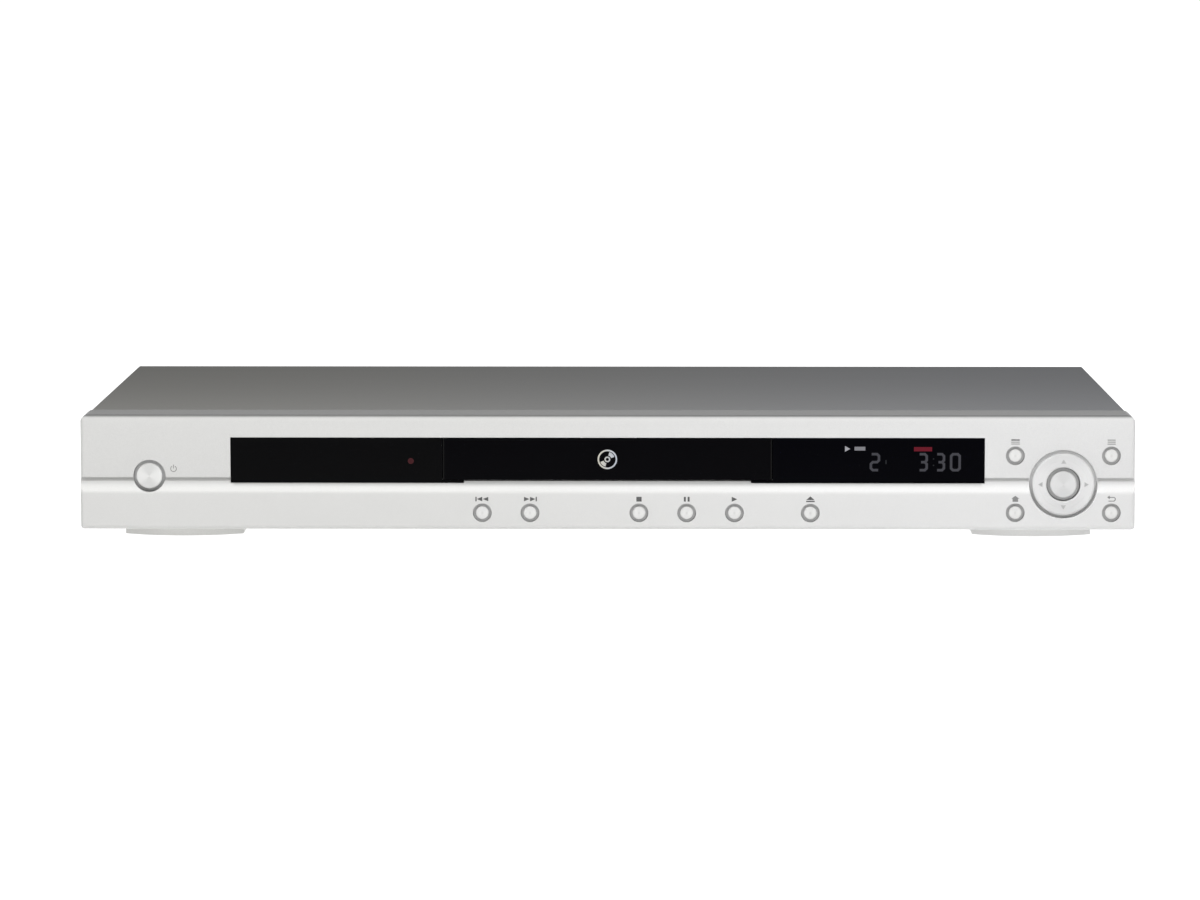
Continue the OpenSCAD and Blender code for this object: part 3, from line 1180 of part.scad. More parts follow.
// Ferrite core round a wound bobbin
module power_transformer() in_case() color([0.2, 0.2, 0.22]) {
  x = winding_x;
  y = winding_y;
  z = board_top + 2;
  leg = core_w / 2 - winding_gap;
  difference() {
    block(x - core_w / 2, x + core_w / 2, y - core_l / 2, y + core_l / 2, z, z + core_h);
    for (s = [-1, 1]) block(x + (s > 0 ? winding_gap + 0.4 : -leg), x + (s > 0 ? leg : -winding_gap - 0.4),
      y - core_l, y + core_l, z + winding_gap, z + core_h - winding_gap);
  }
  block(x - winding_r - 2, x + winding_r + 2, y - winding_r, y + winding_r, board_top + eps, z + 0.2);
  difference() {
    bar_z(x, y, winding_r, z + winding_gap + 0.3, z + core_h - winding_gap - 0.3);
    block(x - winding_gap - 0.4, x + winding_gap + 0.4, y - core_l / 2, y + core_l / 2, z, z + core_h);
    for (s = [-1, 1]) block(s > 0 ? x + leg - 0.1 : x - core_w, s > 0 ? x + core_w : x - leg + 0.1,
      y - core_l, y + core_l, z, z + core_h);
  }
}

// Round capacitors: place, radius and height
CANS = [[30, 40, 9, 26], [22, 70, 5, 16], [78, 40, 5, 18], [78, 58, 5, 18], [80, 78, 4, 14]];
module capacitors() in_case() color([0.15, 0.2, 0.35]) for (c = CANS)
  turned_z(power_x0 + c[0], power_y0 + c[1], [[0, board_top + eps], [c[2], board_top + eps],
    [c[2], board_top + 1.6], [c[2] - 0.4, board_top + 2], [c[2], board_top + 2.4],
    [c[2], board_top + c[3] - 0.6], [c[2] - 0.6, board_top + c[3]], [c[2] - 1, board_top + c[3] - 0.3],
    [0, board_top + c[3] - 0.3]]);

// Two-pole mains inlet with a flange outside the rear panel
module mains_inlet() in_case() color([0.08, 0.08, 0.08]) {
  mouth = rear_y1 + 1.2;
  floor_y = mouth - 12;
  pin_dx = 4.3;
  difference() {
    union() {
      along_y(floor_y - 3, rear_y1 + eps)
        polygon(round_rect(inlet_x - 12.4, inlet_x + 12.4, inlet_z - 6.7, inlet_z + 6.7, 2));
      along_y(rear_y1 + eps, mouth)
        polygon(round_rect(inlet_x - 14, inlet_x + 14, inlet_z - 8.2, inlet_z + 8.2, 2.4));
      block(inlet_x - 9, inlet_x + 9, floor_y - 3, rear_y0 - 1.5, board_top + eps, inlet_z);
    }
    for (s = [-1, 1]) bar_y(inlet_x + s * pin_dx, inlet_z, 4.7, floor_y, mouth + 1);
    block(inlet_x - pin_dx, inlet_x + pin_dx, floor_y, mouth + 1, inlet_z - 3.6, inlet_z + 3.6);
  }
  for (s = [-1, 1]) bar_y(inlet_x + s * pin_dx, inlet_z, 1.2, floor_y - eps, mouth - 2);
}

// Multimedia socket: steel shell with sloping lower corners and a contact tongue
module hdmi_socket() in_case() color("silver") {
  y0 = rear_y0 - 10;
  y1 = rear_y1 + 0.4;
  w = 7.3;
  h = 2.7;
  difference() {
    along_y(y0, y1) polygon([
      [hdmi_x - w, hdmi_z + h], [hdmi_x - w, hdmi_z - 0.6], [hdmi_x - w + 2, hdmi_z - h],
      [hdmi_x + w - 2, hdmi_z - h], [hdmi_x + w, hdmi_z - 0.6], [hdmi_x + w, hdmi_z + h]]);
    along_y(y0 + 1.5, y1 + 1) polygon([[hdmi_x - w + 0.4, hdmi_z + h - 0.4], [hdmi_x - w + 0.4, hdmi_z - 0.4],
      [hdmi_x - w + 2.2, hdmi_z - h + 0.4], [hdmi_x + w - 2.2, hdmi_z - h + 0.4],
      [hdmi_x + w - 0.4, hdmi_z - 0.4], [hdmi_x + w - 0.4, hdmi_z + h - 0.4]]);
  }
  block(hdmi_x - 5.6, hdmi_x + 5.6, y0 + 1, y1 - 1, hdmi_z + 0.1, hdmi_z + 1.2);
  for (s = [-1, 1])
    block(hdmi_x + s * 6 - 0.6, hdmi_x + s * 6 + 0.6, y0 + 2, y0 + 4, board_top + eps, hdmi_z - h + 1.4);
}

// Housings of the phono jacks, each with its round insert
jack_body_w = 13.2;
jack_body_d = 13;
module phono_jacks() in_case() color([0.85, 0.1, 0.1]) for (x = JACKS) difference() {
  union() {
    block(x - jack_body_w / 2, x + jack_body_w / 2, rear_y0 - jack_body_d, rear_y0 - 0.2,
      board_top + eps, jack_z + jack_body_w / 2 - 0.6);
    bar_y(x, jack_z, jack_d / 2 - 0.75, rear_y0 - 1, rear_y1 + jack_reach - 0.4);
  }
  bar_y(x, jack_z, 1.7, rear_y0 - 8, case_d + jack_reach);
}

module jack_shells() in_case() color("silver") for (x = JACKS) difference() {
  union() {
    bar_y(x, jack_z, jack_d / 2, rear_y0 - 0.15, rear_y1 + jack_reach);
    bar_y(x, jack_z, jack_d / 2 + 0.3, rear_y0 - 0.15, rear_y1);
  }
  bar_y(x, jack_z, jack_d / 2 - 0.7, rear_y0 - 1, case_d + jack_reach);
}

// Ribbon cable from the control board through the flange to the main board
cable_half = 10;
module flat_cable() in_case() color("white")
  along_x(CABLE_X - cable_half, CABLE_X + cable_half) polygon(concat(
    [for (p = CABLE_PATH) [p[0], p[1]]],
    [for (i = [len(CABLE_PATH) - 1:-1:0]) [CABLE_PATH[i][0], CABLE_PATH[i][1] - 0.35]]));
cable_run = 32;
cable_drop = 10;
cable_plug = 7;
CABLE_PATH = [[board_rear + 0.1, CABLE_Z + 0.2], [board_rear + cable_run / 3, CABLE_Z],
  [board_rear + cable_run * 0.7, CABLE_Z - cable_drop * 0.3], [board_rear + cable_run, CABLE_Z - cable_drop],
  [main_y0 - cable_plug, board_top + 5], [main_y0, board_top + 3], [main_y0 + cable_plug, board_top + 2.8]];

// Screws of the control board, the loader and the circuit boards
inner_screw_d = 2.4;
panel_screw_l = 7;
loader_screw_l = 4.8;
board_screw_l = 6.4;
module inner_screws() in_case() color("silver") {
  for (b = BOARD_BOSSES) translate([b[0], board_rear + eps, b[1]]) rotate([-90, 0, 0])
    screw(inner_screw_d, panel_screw_l);
  for (f = LOADER_FEET) translate([f[0], f[1], loader_z + loader_floor + 0.6 + eps])
    screw(inner_screw_d, loader_screw_l);
  for (f = BOARD_FEET) translate([f[0], f[1], board_top + eps]) screw(inner_screw_d, board_screw_l);
}

front_panel();
left_window();
display_window();
tray_door();
top_cover();
bottom_chassis();
rear_panel();
front_feet();
foot_pads();
rear_feet();
cover_screws();
inner_screws();
key_node(0);  // standby_button
key_node(1);  // skip_back_button
key_node(2);  // skip_forward_button
key_node(3);  // stop_button
key_node(4);  // pause_button
key_node(5);  // play_button
key_node(6);  // open_close_button
key_node(7);  // top_menu_button
key_node(8);  // menu_button
key_node(9);  // home_menu_button
key_node(10);  // return_button
navigation_ring();
ring_gimbal();
enter_button();
control_board();
tact_switches();
display_module();
indicator_led();
loader_frame();
disc_tray();
loading_motor();
motor_pulley();
drive_belt();
pulley_gear();
drive_gear();
cam_slider();
clamp_bridge();
disc_clamper();
traverse_frame();
mech_deck();
damper_bushes();
spindle_motor();
turntable();
pickup_head();
objective_lens();
guide_rods();
lead_screw();
sled_motor();
main_board();
main_chips();
power_board();
power_transformer();
capacitors();
mains_inlet();
hdmi_socket();
phono_jacks();
jack_shells();
flat_cable();
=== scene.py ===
# %% [markdown]
# # Dressing a slim disc player
# The frame is the finished model of the player: sixty pieces, in metres, standing on z = 0 with the front
# towards -Y. Nothing here moves or reshapes them. The cells below put a camera and a pale studio around
# them, mix one finish after another out of shader nodes, and add the thin things that are too fine for the
# solids: printed signs, lit figures and small mouldings.

# %% Load the frame
import math

import bpy
import numpy as np
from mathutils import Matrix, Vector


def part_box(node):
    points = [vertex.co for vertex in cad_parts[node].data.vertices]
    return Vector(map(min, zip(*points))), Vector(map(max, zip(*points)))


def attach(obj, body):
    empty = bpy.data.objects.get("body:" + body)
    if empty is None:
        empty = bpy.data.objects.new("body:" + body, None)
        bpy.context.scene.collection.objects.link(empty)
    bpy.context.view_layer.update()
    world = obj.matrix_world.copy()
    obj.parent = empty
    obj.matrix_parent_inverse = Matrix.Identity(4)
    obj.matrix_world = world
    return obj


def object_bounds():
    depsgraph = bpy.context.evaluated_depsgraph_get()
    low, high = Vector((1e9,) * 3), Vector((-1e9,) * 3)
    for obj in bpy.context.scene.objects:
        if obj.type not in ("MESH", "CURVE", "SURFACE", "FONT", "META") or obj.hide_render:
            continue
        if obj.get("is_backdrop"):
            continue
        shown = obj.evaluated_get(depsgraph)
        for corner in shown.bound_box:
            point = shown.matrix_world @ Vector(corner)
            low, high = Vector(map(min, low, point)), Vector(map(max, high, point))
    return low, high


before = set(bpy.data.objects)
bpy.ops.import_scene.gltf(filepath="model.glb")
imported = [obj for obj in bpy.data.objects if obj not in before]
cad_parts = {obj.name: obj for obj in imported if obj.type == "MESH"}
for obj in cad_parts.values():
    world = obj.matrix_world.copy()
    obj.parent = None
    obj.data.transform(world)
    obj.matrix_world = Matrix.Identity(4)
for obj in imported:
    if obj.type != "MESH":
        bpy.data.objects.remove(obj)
cad_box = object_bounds()

# %% [markdown]
# ## A ruler on the case
# A print on a panel is placed from the panel's own edges, not from the middle of the room. So every place
# below is given in millimetres: x to the right of the panel's middle, y back from its lower front face and
# z up from its underside. One function turns such places into metres, for one point or for a whole array.

# %% Ruler
MM = 0.001
panel_low, panel_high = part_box("front_panel")
case_zero = np.array([0.0, panel_low.y, panel_low.z])


def on_case(places):
    """Metres in the frame = millimetres on the case times 0.001, plus the panel's lower front edge."""
    return np.asarray(places, float) * MM + case_zero


def place_of(node):
    """Lowest and highest corner of a piece, in millimetres on the case."""
    low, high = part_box(node)
    return (np.array(low) - case_zero) / MM, (np.array(high) - case_zero) / MM


panel_w = (panel_high.x - panel_low.x) / MM
panel_h = (panel_high.z - panel_low.z) / MM
print(f"panel {panel_w:.1f} by {panel_h:.1f} mm, its underside {case_zero[2] / MM:.1f} mm up")

# %% [markdown]
# ## The camera
# A long lens flattens a wide, low box: seen from under two metres, its sides run back with hardly any
# taper and its top shows as a thin band. A short lens close by would swell the near edge. The focal length
# is given in pixels, because its ratio to the picture's width, and not the size of the sensor, sets the
# angle of view.

# %% Camera
PICTURE_W = 1200
PICTURE_H = 900
FOCAL_PIXELS = 4625
SENSOR_MM = 36
eye = on_case((11.2, -1826.4, 245.1))
look_down = math.radians(6.655)
look_left = math.radians(0.443)

lens = bpy.data.cameras.new("studio_camera")
lens.sensor_fit = "HORIZONTAL"
lens.sensor_width = SENSOR_MM
lens.lens = FOCAL_PIXELS / PICTURE_W * SENSOR_MM
lens.clip_start = 0.05
lens.clip_end = 60
camera = bpy.data.objects.new("studio_camera", lens)
camera.location = eye
camera.rotation_euler = (math.pi / 2 - look_down, 0, look_left)
bpy.context.scene.collection.objects.link(camera)
bpy.context.scene.camera = camera


def picture_point(place):
    """Pixel of a place on the case: its offset over its depth, times the focal length, from the middle."""
    turn = np.array(camera.rotation_euler.to_matrix())
    across, up, back = (on_case(place) - eye) @ turn
    return PICTURE_W / 2 - FOCAL_PIXELS * across / back, PICTURE_H / 2 + FOCAL_PIXELS * up / back


for corner in [(-panel_w / 2, 0, 0), (panel_w / 2, 0, 0), (0, 2, panel_h)]:
    print("corner", corner, "falls at", [round(v, 1) for v in picture_point(corner)])

# %% [markdown]
# ## Shader maths as Python
# A procedural finish is a small calculation made for every point of a surface. Wired by hand, even a simple
# one is a dozen Math nodes. Two small classes keep it readable: a Wire is one output socket, and the usual
# operators on Wires and numbers add the Math nodes, while a Bench is a node tree with one method that adds
# any other node. Colours go through Mix nodes, because a Math node would turn them grey.

# %% Wires and benches
def operator(kind, swapped=False):
    """A method that adds a Math node of that kind for a Wire and another value, or swapped."""
    def method(wire, other):
        return wire.bench.maths(kind, *((other, wire) if swapped else (wire, other)))
    return method


class Wire:
    """One output socket, on which + - * / < and > work, with numbers on either side."""
    __add__ = __radd__ = operator("ADD")
    __mul__ = __rmul__ = operator("MULTIPLY")
    __sub__, __rsub__ = operator("SUBTRACT"), operator("SUBTRACT", swapped=True)
    __truediv__, __rtruediv__ = operator("DIVIDE"), operator("DIVIDE", swapped=True)
    __gt__, __lt__ = operator("GREATER_THAN"), operator("LESS_THAN")

    def __init__(self, bench, socket):
        self.bench = bench
        self.socket = socket


class Bench:
    """A node tree. add() makes a node of any type, sets its settings, then its inputs, values or Wires."""

    def __init__(self, tree):
        self.tree = tree

    def feed(self, socket, value):
        if isinstance(value, Wire):
            self.tree.links.new(value.socket, socket)
        else:
            socket.default_value = value

    def add(self, kind, settings=None, inputs=None, out=0):
        node = self.tree.nodes.new(kind)
        for key, value in (settings or {}).items():
            if key == "stops":
                ramp = node.color_ramp
                while len(ramp.elements) < len(value):
                    ramp.elements.new(0.5)
                for stop, (place, colour) in zip(ramp.elements, value):
                    stop.position, stop.color = place, (*colour, 1)
            else:
                setattr(node, key, value)
        for key, value in (inputs or {}).items():
            self.feed(node.inputs[key], value)
        return Wire(self, node.outputs[out])

    def maths(self, operation, *values):
        return self.add("ShaderNodeMath", {"operation": operation}, dict(enumerate(values)))


print("reflected forms of a Wire:", [name for name in vars(Wire) if name.startswith("__r")])

# %% [markdown]
# ## A finish
# All the finishes start alike: a Principled shader, and the object's own coordinates in metres. Those fit
# here, because every piece keeps its place in its mesh, so one pattern runs on across neighbours without a
# seam, and moves with a piece that slides or turns. A Finish holds both, with what most of the materials
# share: fine grain that can be drawn out to streaks, cells with a value each, soft steps from one level to
# another, a roughness that follows a pattern, and a bump.

# %% Finish
WHITE = (1.0, 1.0, 1.0)
finishes = {}


def grey(level):
    return (level,) * 3


def rgba(colour):
    """A colour as a socket takes it. A Wire stays as it is."""
    return colour if isinstance(colour, Wire) else (*colour, 1.0)


class Finish(Bench):
    """A material made of nodes, with the object's coordinates as x, y and z in metres."""

    def __init__(self, name, colour, roughness, metallic=0.0, specular=0.5):
        self.material = bpy.data.materials.new(name)
        self.material.use_nodes = True
        super().__init__(self.material.node_tree)
        self.shader = self.tree.nodes["Principled BSDF"]
        self.point = self.add("ShaderNodeTexCoord", out="Object")
        self.x, self.y, self.z = [self.part(self.point, i) for i in range(3)]
        self.put("Base Color", rgba(colour))
        self.put("Roughness", roughness)
        self.put("Metallic", metallic)
        self.put("Specular IOR Level", specular)
        finishes[name] = self

    def put(self, socket, value):
        self.feed(self.shader.inputs[socket], value)

    def part(self, vector, i):
        return self.add("ShaderNodeSeparateXYZ", None, {0: vector}, i)

    def upward(self):
        """How far a face looks up: the z of its normal, from -1 to 1."""
        return self.part(self.add("ShaderNodeNewGeometry", out="Normal"), 2)

    def grain(self, size, stretch=(1, 1, 1), detail=2.0):
        """Noise from 0 to 1 with lumps about size millimetres across, drawn out by stretch."""
        inputs = {"Vector": self.point, "Scale": tuple(1 / (size * MM * s) for s in stretch)}
        spread = self.add("ShaderNodeMapping", {"vector_type": "POINT"}, inputs)
        inputs = {"Vector": spread, "Scale": 1.0, "Detail": detail, "Roughness": 0.5}
        return self.add("ShaderNodeTexNoise", None, inputs, "Fac")

    def cells(self, size, **settings):
        """One random value, 0 to 1, for each Voronoi cell, size millimetres wide."""
        inputs = {"Vector": self.point, "Scale": 1 / (size * MM)}
        colour = self.add("ShaderNodeTexVoronoi", {"feature": "F1", **settings}, inputs, "Color")
        return self.add("ShaderNodeSeparateColor", None, {0: colour}, 0)

    def spread(self, value, low, high, start=0.0, end=1.0):
        """Carries value from the span low..high to start..end, with a soft start and end."""
        inputs = {"Value": value, "From Min": low, "From Max": high, "To Min": start, "To Max": end}
        return self.add("ShaderNodeMapRange", {"interpolation_type": "SMOOTHSTEP"}, inputs)

    def between(self, value, rise, full, fade, gone):
        """0 up to rise, 1 from full to fade and 0 from gone on, with soft steps."""
        return self.spread(value, rise, full) * self.spread(value, fade, gone, 1.0, 0.0)

    def mix(self, first, second, share, blend="MIX"):
        """The first colour where share is 0. Where it is 1, the second or, with MULTIPLY, the product."""
        settings = {"data_type": "RGBA", "blend_type": blend}
        return self.add("ShaderNodeMix", settings, {0: share, 6: rgba(first), 7: rgba(second)}, 2)

    def roughen(self, pattern, low, high, span=(0.2, 0.8)):
        """Roughness that goes from low to high while the pattern goes through span."""
        self.put("Roughness", self.spread(pattern, *span, low, high))

    def bump(self, height, depth, strength=1.0):
        """Tilts the shading as a surface of that height, 0 to 1, over depth millimetres would."""
        inputs = {"Strength": strength, "Distance": depth * MM, "Height": height}
        self.put("Normal", self.add("ShaderNodeBump", None, inputs))


def dress(finish, *nodes):
    """Gives the finish to these pieces of the frame."""
    for name in nodes:
        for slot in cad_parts[name].material_slots:
            slot.material = finish.material
    print(f"{finish.material.name}: {', '.join(nodes)}")


# %% [markdown]
# ## The studio
# Small hi-fi gear is shown in a white tent: even light from all round, a softbox over the front edge and a
# white floor that runs out of the picture. A floor lit until it is pure white would light the object far
# too much as well. So the floor glows in full only for rays from the camera and for those that gloss and
# glass send out. The object gets two fifths of that glow, enough to lift its feet and its lower edge out of
# the dark. The rest of the floor's light is the lamps', which leaves the object its soft shadow.

# %% World and floor
def seen_directly(bench):
    """1 for a ray that shows the background itself: from the camera, a gloss or a glass."""
    kinds = [bench.add("ShaderNodeLightPath", out=kind)
             for kind in ("Is Camera Ray", "Is Glossy Ray", "Is Transmission Ray")]
    return bench.maths("MAXIMUM", bench.maths("MAXIMUM", *kinds[:2]), kinds[2])


TENT_LIGHT = 0.285
world = bpy.data.worlds.new("white_tent")
world.use_nodes = True
bpy.context.scene.world = world
tent = Bench(world.node_tree)
direct = seen_directly(tent)
tent.feed(world.node_tree.nodes["Background"].inputs["Color"], rgba(WHITE))
tent.feed(world.node_tree.nodes["Background"].inputs["Strength"], direct * (1 - TENT_LIGHT) + TENT_LIGHT)

FLOOR_HALF = 25.0
FLOOR_GLOW = 0.86
FLOOR_LIGHT = 0.40
floor_mesh = bpy.data.meshes.new("floor")
floor_corners = np.array([(-1, -1, 0), (1, -1, 0), (1, 1, 0), (-1, 1, 0)]) * FLOOR_HALF
floor_mesh.from_pydata(floor_corners.tolist(), [], [(0, 1, 2, 3)])
floor = bpy.data.objects.new("floor", floor_mesh)
bpy.context.scene.collection.objects.link(floor)
floor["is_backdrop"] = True
pale = Finish("pale_floor", grey(0.80), 0.9, specular=0.0)
pale.put("Base Color", pale.mix(grey(0.79), grey(0.81), pale.grain(400)))
glow = (seen_directly(pale) * (1 - FLOOR_LIGHT) + FLOOR_LIGHT) * FLOOR_GLOW
pale.put("Emission Color", pale.mix((0, 0, 0), WHITE, glow))
pale.put("Emission Strength", 1.0)
floor_mesh.materials.append(pale.material)
print("floor", 2 * FLOOR_HALF, "m wide")

# %% [markdown]
# The lamps are large rectangles, so no edge in the shadows is hard. The key hangs over the front edge, and
# because it is near, its light falls off over the depth of the cover: the front of the cover is brighter
# than the rear. A weak pair in front keeps the upright panel as bright as its paint, and a pair behind
# lights the rear side and its sockets, which the camera in front doesn't see.

# %% Lamps
def softbox(name, place, aim, width, height, watts, colour=WHITE):
    """A rectangle of light at place, in metres, turned so that its -Z axis points at aim."""
    lamp = bpy.data.lights.new(name, "AREA")
    lamp.shape = "RECTANGLE"
    lamp.size, lamp.size_y = width, height
    lamp.energy = watts
    lamp.color = colour
    box = bpy.data.objects.new(name, lamp)
    box.location = place
    way = np.array(aim) - np.array(place)
    box.rotation_euler = (math.acos(-way[2] / np.linalg.norm(way)), 0, math.atan2(way[0], -way[1]) + math.pi)
    box.visible_camera = False
    bpy.context.scene.collection.objects.link(box)


front = float(panel_low.y)
rear = float(cad_box[1][1])
MID_HEIGHT = 0.03
CANDLE_WHITE = (1.0, 0.985, 0.95)
softbox("key_softbox", (0.0, front - 0.17, 0.24), (0.0, front + 0.02, MID_HEIGHT), 0.90, 0.12, 1.15)
softbox("fill_right", (0.80, front - 1.2, 0.18), (0.0, front, MID_HEIGHT), 0.8, 0.36, 1.5)
softbox("fill_left", (-0.80, front - 1.2, 0.18), (0.0, front, MID_HEIGHT), 0.8, 0.36, 0.7, CANDLE_WHITE)
softbox("rear_right", (0.9, rear + 1.1, 0.3), (0.0, rear, MID_HEIGHT), 0.8, 0.5, 5.6)
softbox("rear_left", (-0.9, rear + 1.1, 0.3), (0.0, rear, MID_HEIGHT), 0.8, 0.5, 4.8)
bpy.context.scene.view_settings.view_transform = "Standard"

# %% [markdown]
# ## The silver front
# The front panel, its feet and the buttons are moulded plastic under a silver lacquer. Chrome would be the
# wrong start: lacquer holds tiny flakes that lie at all angles, so it looks nearly white and even, with a
# soft sheen. Two layers make it. The flakes are very fine noise that shifts the colour by a few percent
# and tilts the shading, and a slow, faint drift keeps a panel 420 mm long from looking computed. The
# drift's two ends also carry the small change from a warmer to a cooler silver along the panel, and with
# it a painted light: the right end of the panel's silver is about a tenth lighter than the left.

# %% Silver lacquer
FLAKE_DEPTH = 0.004


def lacquer(name, warm, cool, roughness, shade_of=None):
    """Silver lacquer: base colour runs from warm at the left to cool at the right, the cool end also a little
    lighter as painted light, times the flakes, times the painted light and shade that shade_of gives for
    the zones of the piece."""
    silver = Finish(name, cool, roughness, specular=0.08)
    across = silver.spread(silver.x, -panel_w / 4 * MM, panel_w / 2 * MM)
    flakes = silver.grain(0.12, detail=3.0)
    cloud = silver.grain(35, stretch=(2.5, 1, 1))
    tone = silver.mix(warm, cool, across * 0.9 + cloud * 0.1)
    shade = silver.spread(flakes, 0.25, 0.75, 0.90, 1.06)
    if shade_of:
        shade = shade * shade_of(silver)
    silver.put("Base Color", silver.mix(tone, shade, 1.0, "MULTIPLY"))
    silver.roughen(flakes, roughness - 0.05, roughness + 0.08)
    silver.bump(flakes, FLAKE_DEPTH)
    return silver


# %% [markdown]
# Round each button lies a moat, a narrow ring a millimetre below the face. It is as pale as the rest, but
# hardly any light gets down there, and what does is lost between close walls. The lamps here don't darken
# such a slot as much as it is in life, so the moats and the walls of the bores take painted greys in their
# base colour: painted shade, and painted light in the ring's wide bore. Where a cap ends and where a bore
# begins, rays shot from the front can tell.

# %% Edges found by rays
KEY_ROW = ["skip_back", "skip_forward", "stop", "pause", "play", "open_close",
           "top_menu", "menu", "home_menu", "return"]
ROUND_PIECES = ["standby_button", "navigation_ring"] + [key + "_button" for key in KEY_ROW]
RAY_STEP = 0.05
MOAT_DROP = 1.0
WALL_DEEP = 8.0
RAY_START = -30.0
MISSED = 1000.0


def middle_of(node):
    """Middle of a piece's box, in metres."""
    low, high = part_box(node)
    return (low + high) / 2


def on_face(node):
    """Middle of a piece in x and z, in millimetres on the case."""
    low, high = place_of(node)
    return np.array([low[0] + high[0], low[2] + high[2]]) / 2


def depth_at(node, x, z):
    """How far back on the case, in millimetres, a ray from the front meets the piece at x, z."""
    hit, place, _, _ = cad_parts[node].ray_cast(on_case((x, RAY_START, z)), (0, 1, 0))
    return (place[1] - case_zero[1]) / MM if hit else MISSED


def cap_edge(node, start, way):
    """Radius, in metres, where the cap ends: rays step up from start, outwards or inwards, until one falls
    a moat's depth behind the front of the piece."""
    x, z = on_face(node)
    deepest = place_of(node)[0][1] + MOAT_DROP
    radius = start
    while depth_at(node, x, z + radius) < deepest:
        radius += way * RAY_STEP
    return radius * MM


def bore_edge(node):
    """Radius, in metres, where the panel begins round a piece: the first ray that meets its front wall."""
    x, z = on_face(node)
    radius = 0.0
    while depth_at("front_panel", x, z + radius) > WALL_DEEP:
        radius += RAY_STEP
    return radius * MM


print("bores:", {node: round(bore_edge(node) / MM, 2) for node in ROUND_PIECES})

# %% [markdown]
# The panel is one moulding, and its base colour carries painted light and shade by zone: the groove is
# painted darker as shade in the recess, the shoulder below it takes a painted highlight, the lower face a
# little painted light, and the strip on top a painted shade as grey as the cover. Height and the way a face
# points tell them apart, and heights are counted from the foot of the groove, half a millimetre under the
# door. Under the black band the shoulder's upper half is painted just a little darker, a painted reflection
# of the band, faint because lacquer is too rough for a sharp one. The walls of the keys' bores get painted
# shade, and those of the wide bore round the ring painted light.

# %% Zones of the panel
UNDER_DOOR = 0.5
groove_foot = float(place_of("tray_door")[0][2]) - UNDER_DOOR
band_left = float(place_of("left_window")[0][0])
band_right = float(place_of("display_window")[1][0])
GROOVE_ROWS = groove_foot + np.array([-1.6, 0.0, 1.0, 1.6])
SHOULDER_ROWS = groove_foot + np.array([-5.4, -3.5, -3.1, 0.5])
REFLECTION_ROWS = groove_foot + np.array([-2.5, -0.5])
REFLECTION_FADE = 2.0
# Shares of painted shade, painted highlight and painted light in the panel's base colour.
GROOVE_PAINTED_SHADE, SHOULDER_PAINTED_HIGHLIGHT, LOWER_PAINTED_LIGHT, BAND_PAINTED_REFLECTION, TOP_PAINTED_SHADE = 0.10, 0.26, 0.04, 0.36, 0.72
KEY_BORE_PAINTED_SHADE, WIDE_BORE_PAINTED_LIGHT = 0.3, 0.32
TOP_STRIP = 2.0
WALL_RIM = 0.06 * MM


def within(bench, middle, radius):
    """1 closer than radius to the line through middle that runs from front to back."""
    across, up = bench.x - middle.x, bench.z - middle.z
    return (across * across + up * up) < radius * radius


def panel_painted_shade(silver):
    """Painted light and shade by zone: groove, shoulder, lower face, the band's painted reflection, top strip
    and bore walls.
    """
    height = (silver.z - float(case_zero[2])) / MM
    groove = silver.between(height, *GROOVE_ROWS)
    shoulder = silver.between(height, *SHOULDER_ROWS)
    lower = silver.spread(height, *SHOULDER_ROWS[:2], 1.0, 0.0)
    band_reflection = silver.between(silver.x, band_left * MM, (band_left + REFLECTION_FADE) * MM,
                           (band_right - REFLECTION_FADE) * MM, band_right * MM)
    # Painted reflection of the black band: the shoulder's upper half darker under it.
    band_reflection = band_reflection * silver.spread(height, *REFLECTION_ROWS) * (height < groove_foot)
    # Painted shade on the top strip, grey as the cover.
    top = silver.spread(silver.upward(), 0.5, 0.95) * (height > panel_h - TOP_STRIP)
    shade = 1 - groove * GROOVE_PAINTED_SHADE + shoulder * SHOULDER_PAINTED_HIGHLIGHT + lower * LOWER_PAINTED_LIGHT
    shade = shade - band_reflection * BAND_PAINTED_REFLECTION - top * TOP_PAINTED_SHADE
    # Painted shade on the walls of the keys' bores, painted light on the wide bore round the ring.
    for node in ROUND_PIECES:
        darker = -WIDE_BORE_PAINTED_LIGHT if node == "navigation_ring" else KEY_BORE_PAINTED_SHADE
        shade = shade * (1 - within(silver, middle_of(node), bore_edge(node) + WALL_RIM) * darker)
    return shade


# Painted light: the cool right end of the panel's silver is about a tenth lighter than the warm left end.
WARM_SHADED_SILVER, COOL_LIT_SILVER = (0.622, 0.6215, 0.610), (0.684, 0.684, 0.683)
panel_silver = lacquer("panel_silver", WARM_SHADED_SILVER, COOL_LIT_SILVER, 0.42, panel_painted_shade)
# Painted light: the feet's silver is far paler than the panel's same lacquer, to lift them out of the shade
# under the panel.
foot_silver_painted_light = lacquer("foot_silver_painted_light", (0.94, 0.94, 0.92), (0.97, 0.97, 0.96), 0.45)
dress(panel_silver, "front_panel")
dress(foot_silver_painted_light, "front_feet")

# %% [markdown]
# The buttons are turned in the same silver, but lighter and smoother. A turned face throws its light in
# two fans, left and right of its middle, since the tool's fine rings all stand across the way there; here
# those fans are a painted highlight in the base colour, lighter left and right and darker above and below.
# The fans follow from the place on the face: x squared less z squared, over their sum, is 1 at left and
# right and -1 above and below. One function makes the finish for any round piece.

# %% Button caps
# Painted shade in the moats: greys darker than the silver of the caps.
MOAT_PAINTED_SHADE = grey(0.44)
RING_MOAT_PAINTED_SHADE = grey(0.58)
RING_MIDWAY = 9.2
CAP_RIM = 0.02 * MM
NOT_ZERO = 1e-12
PIP_DARKER = 0.08


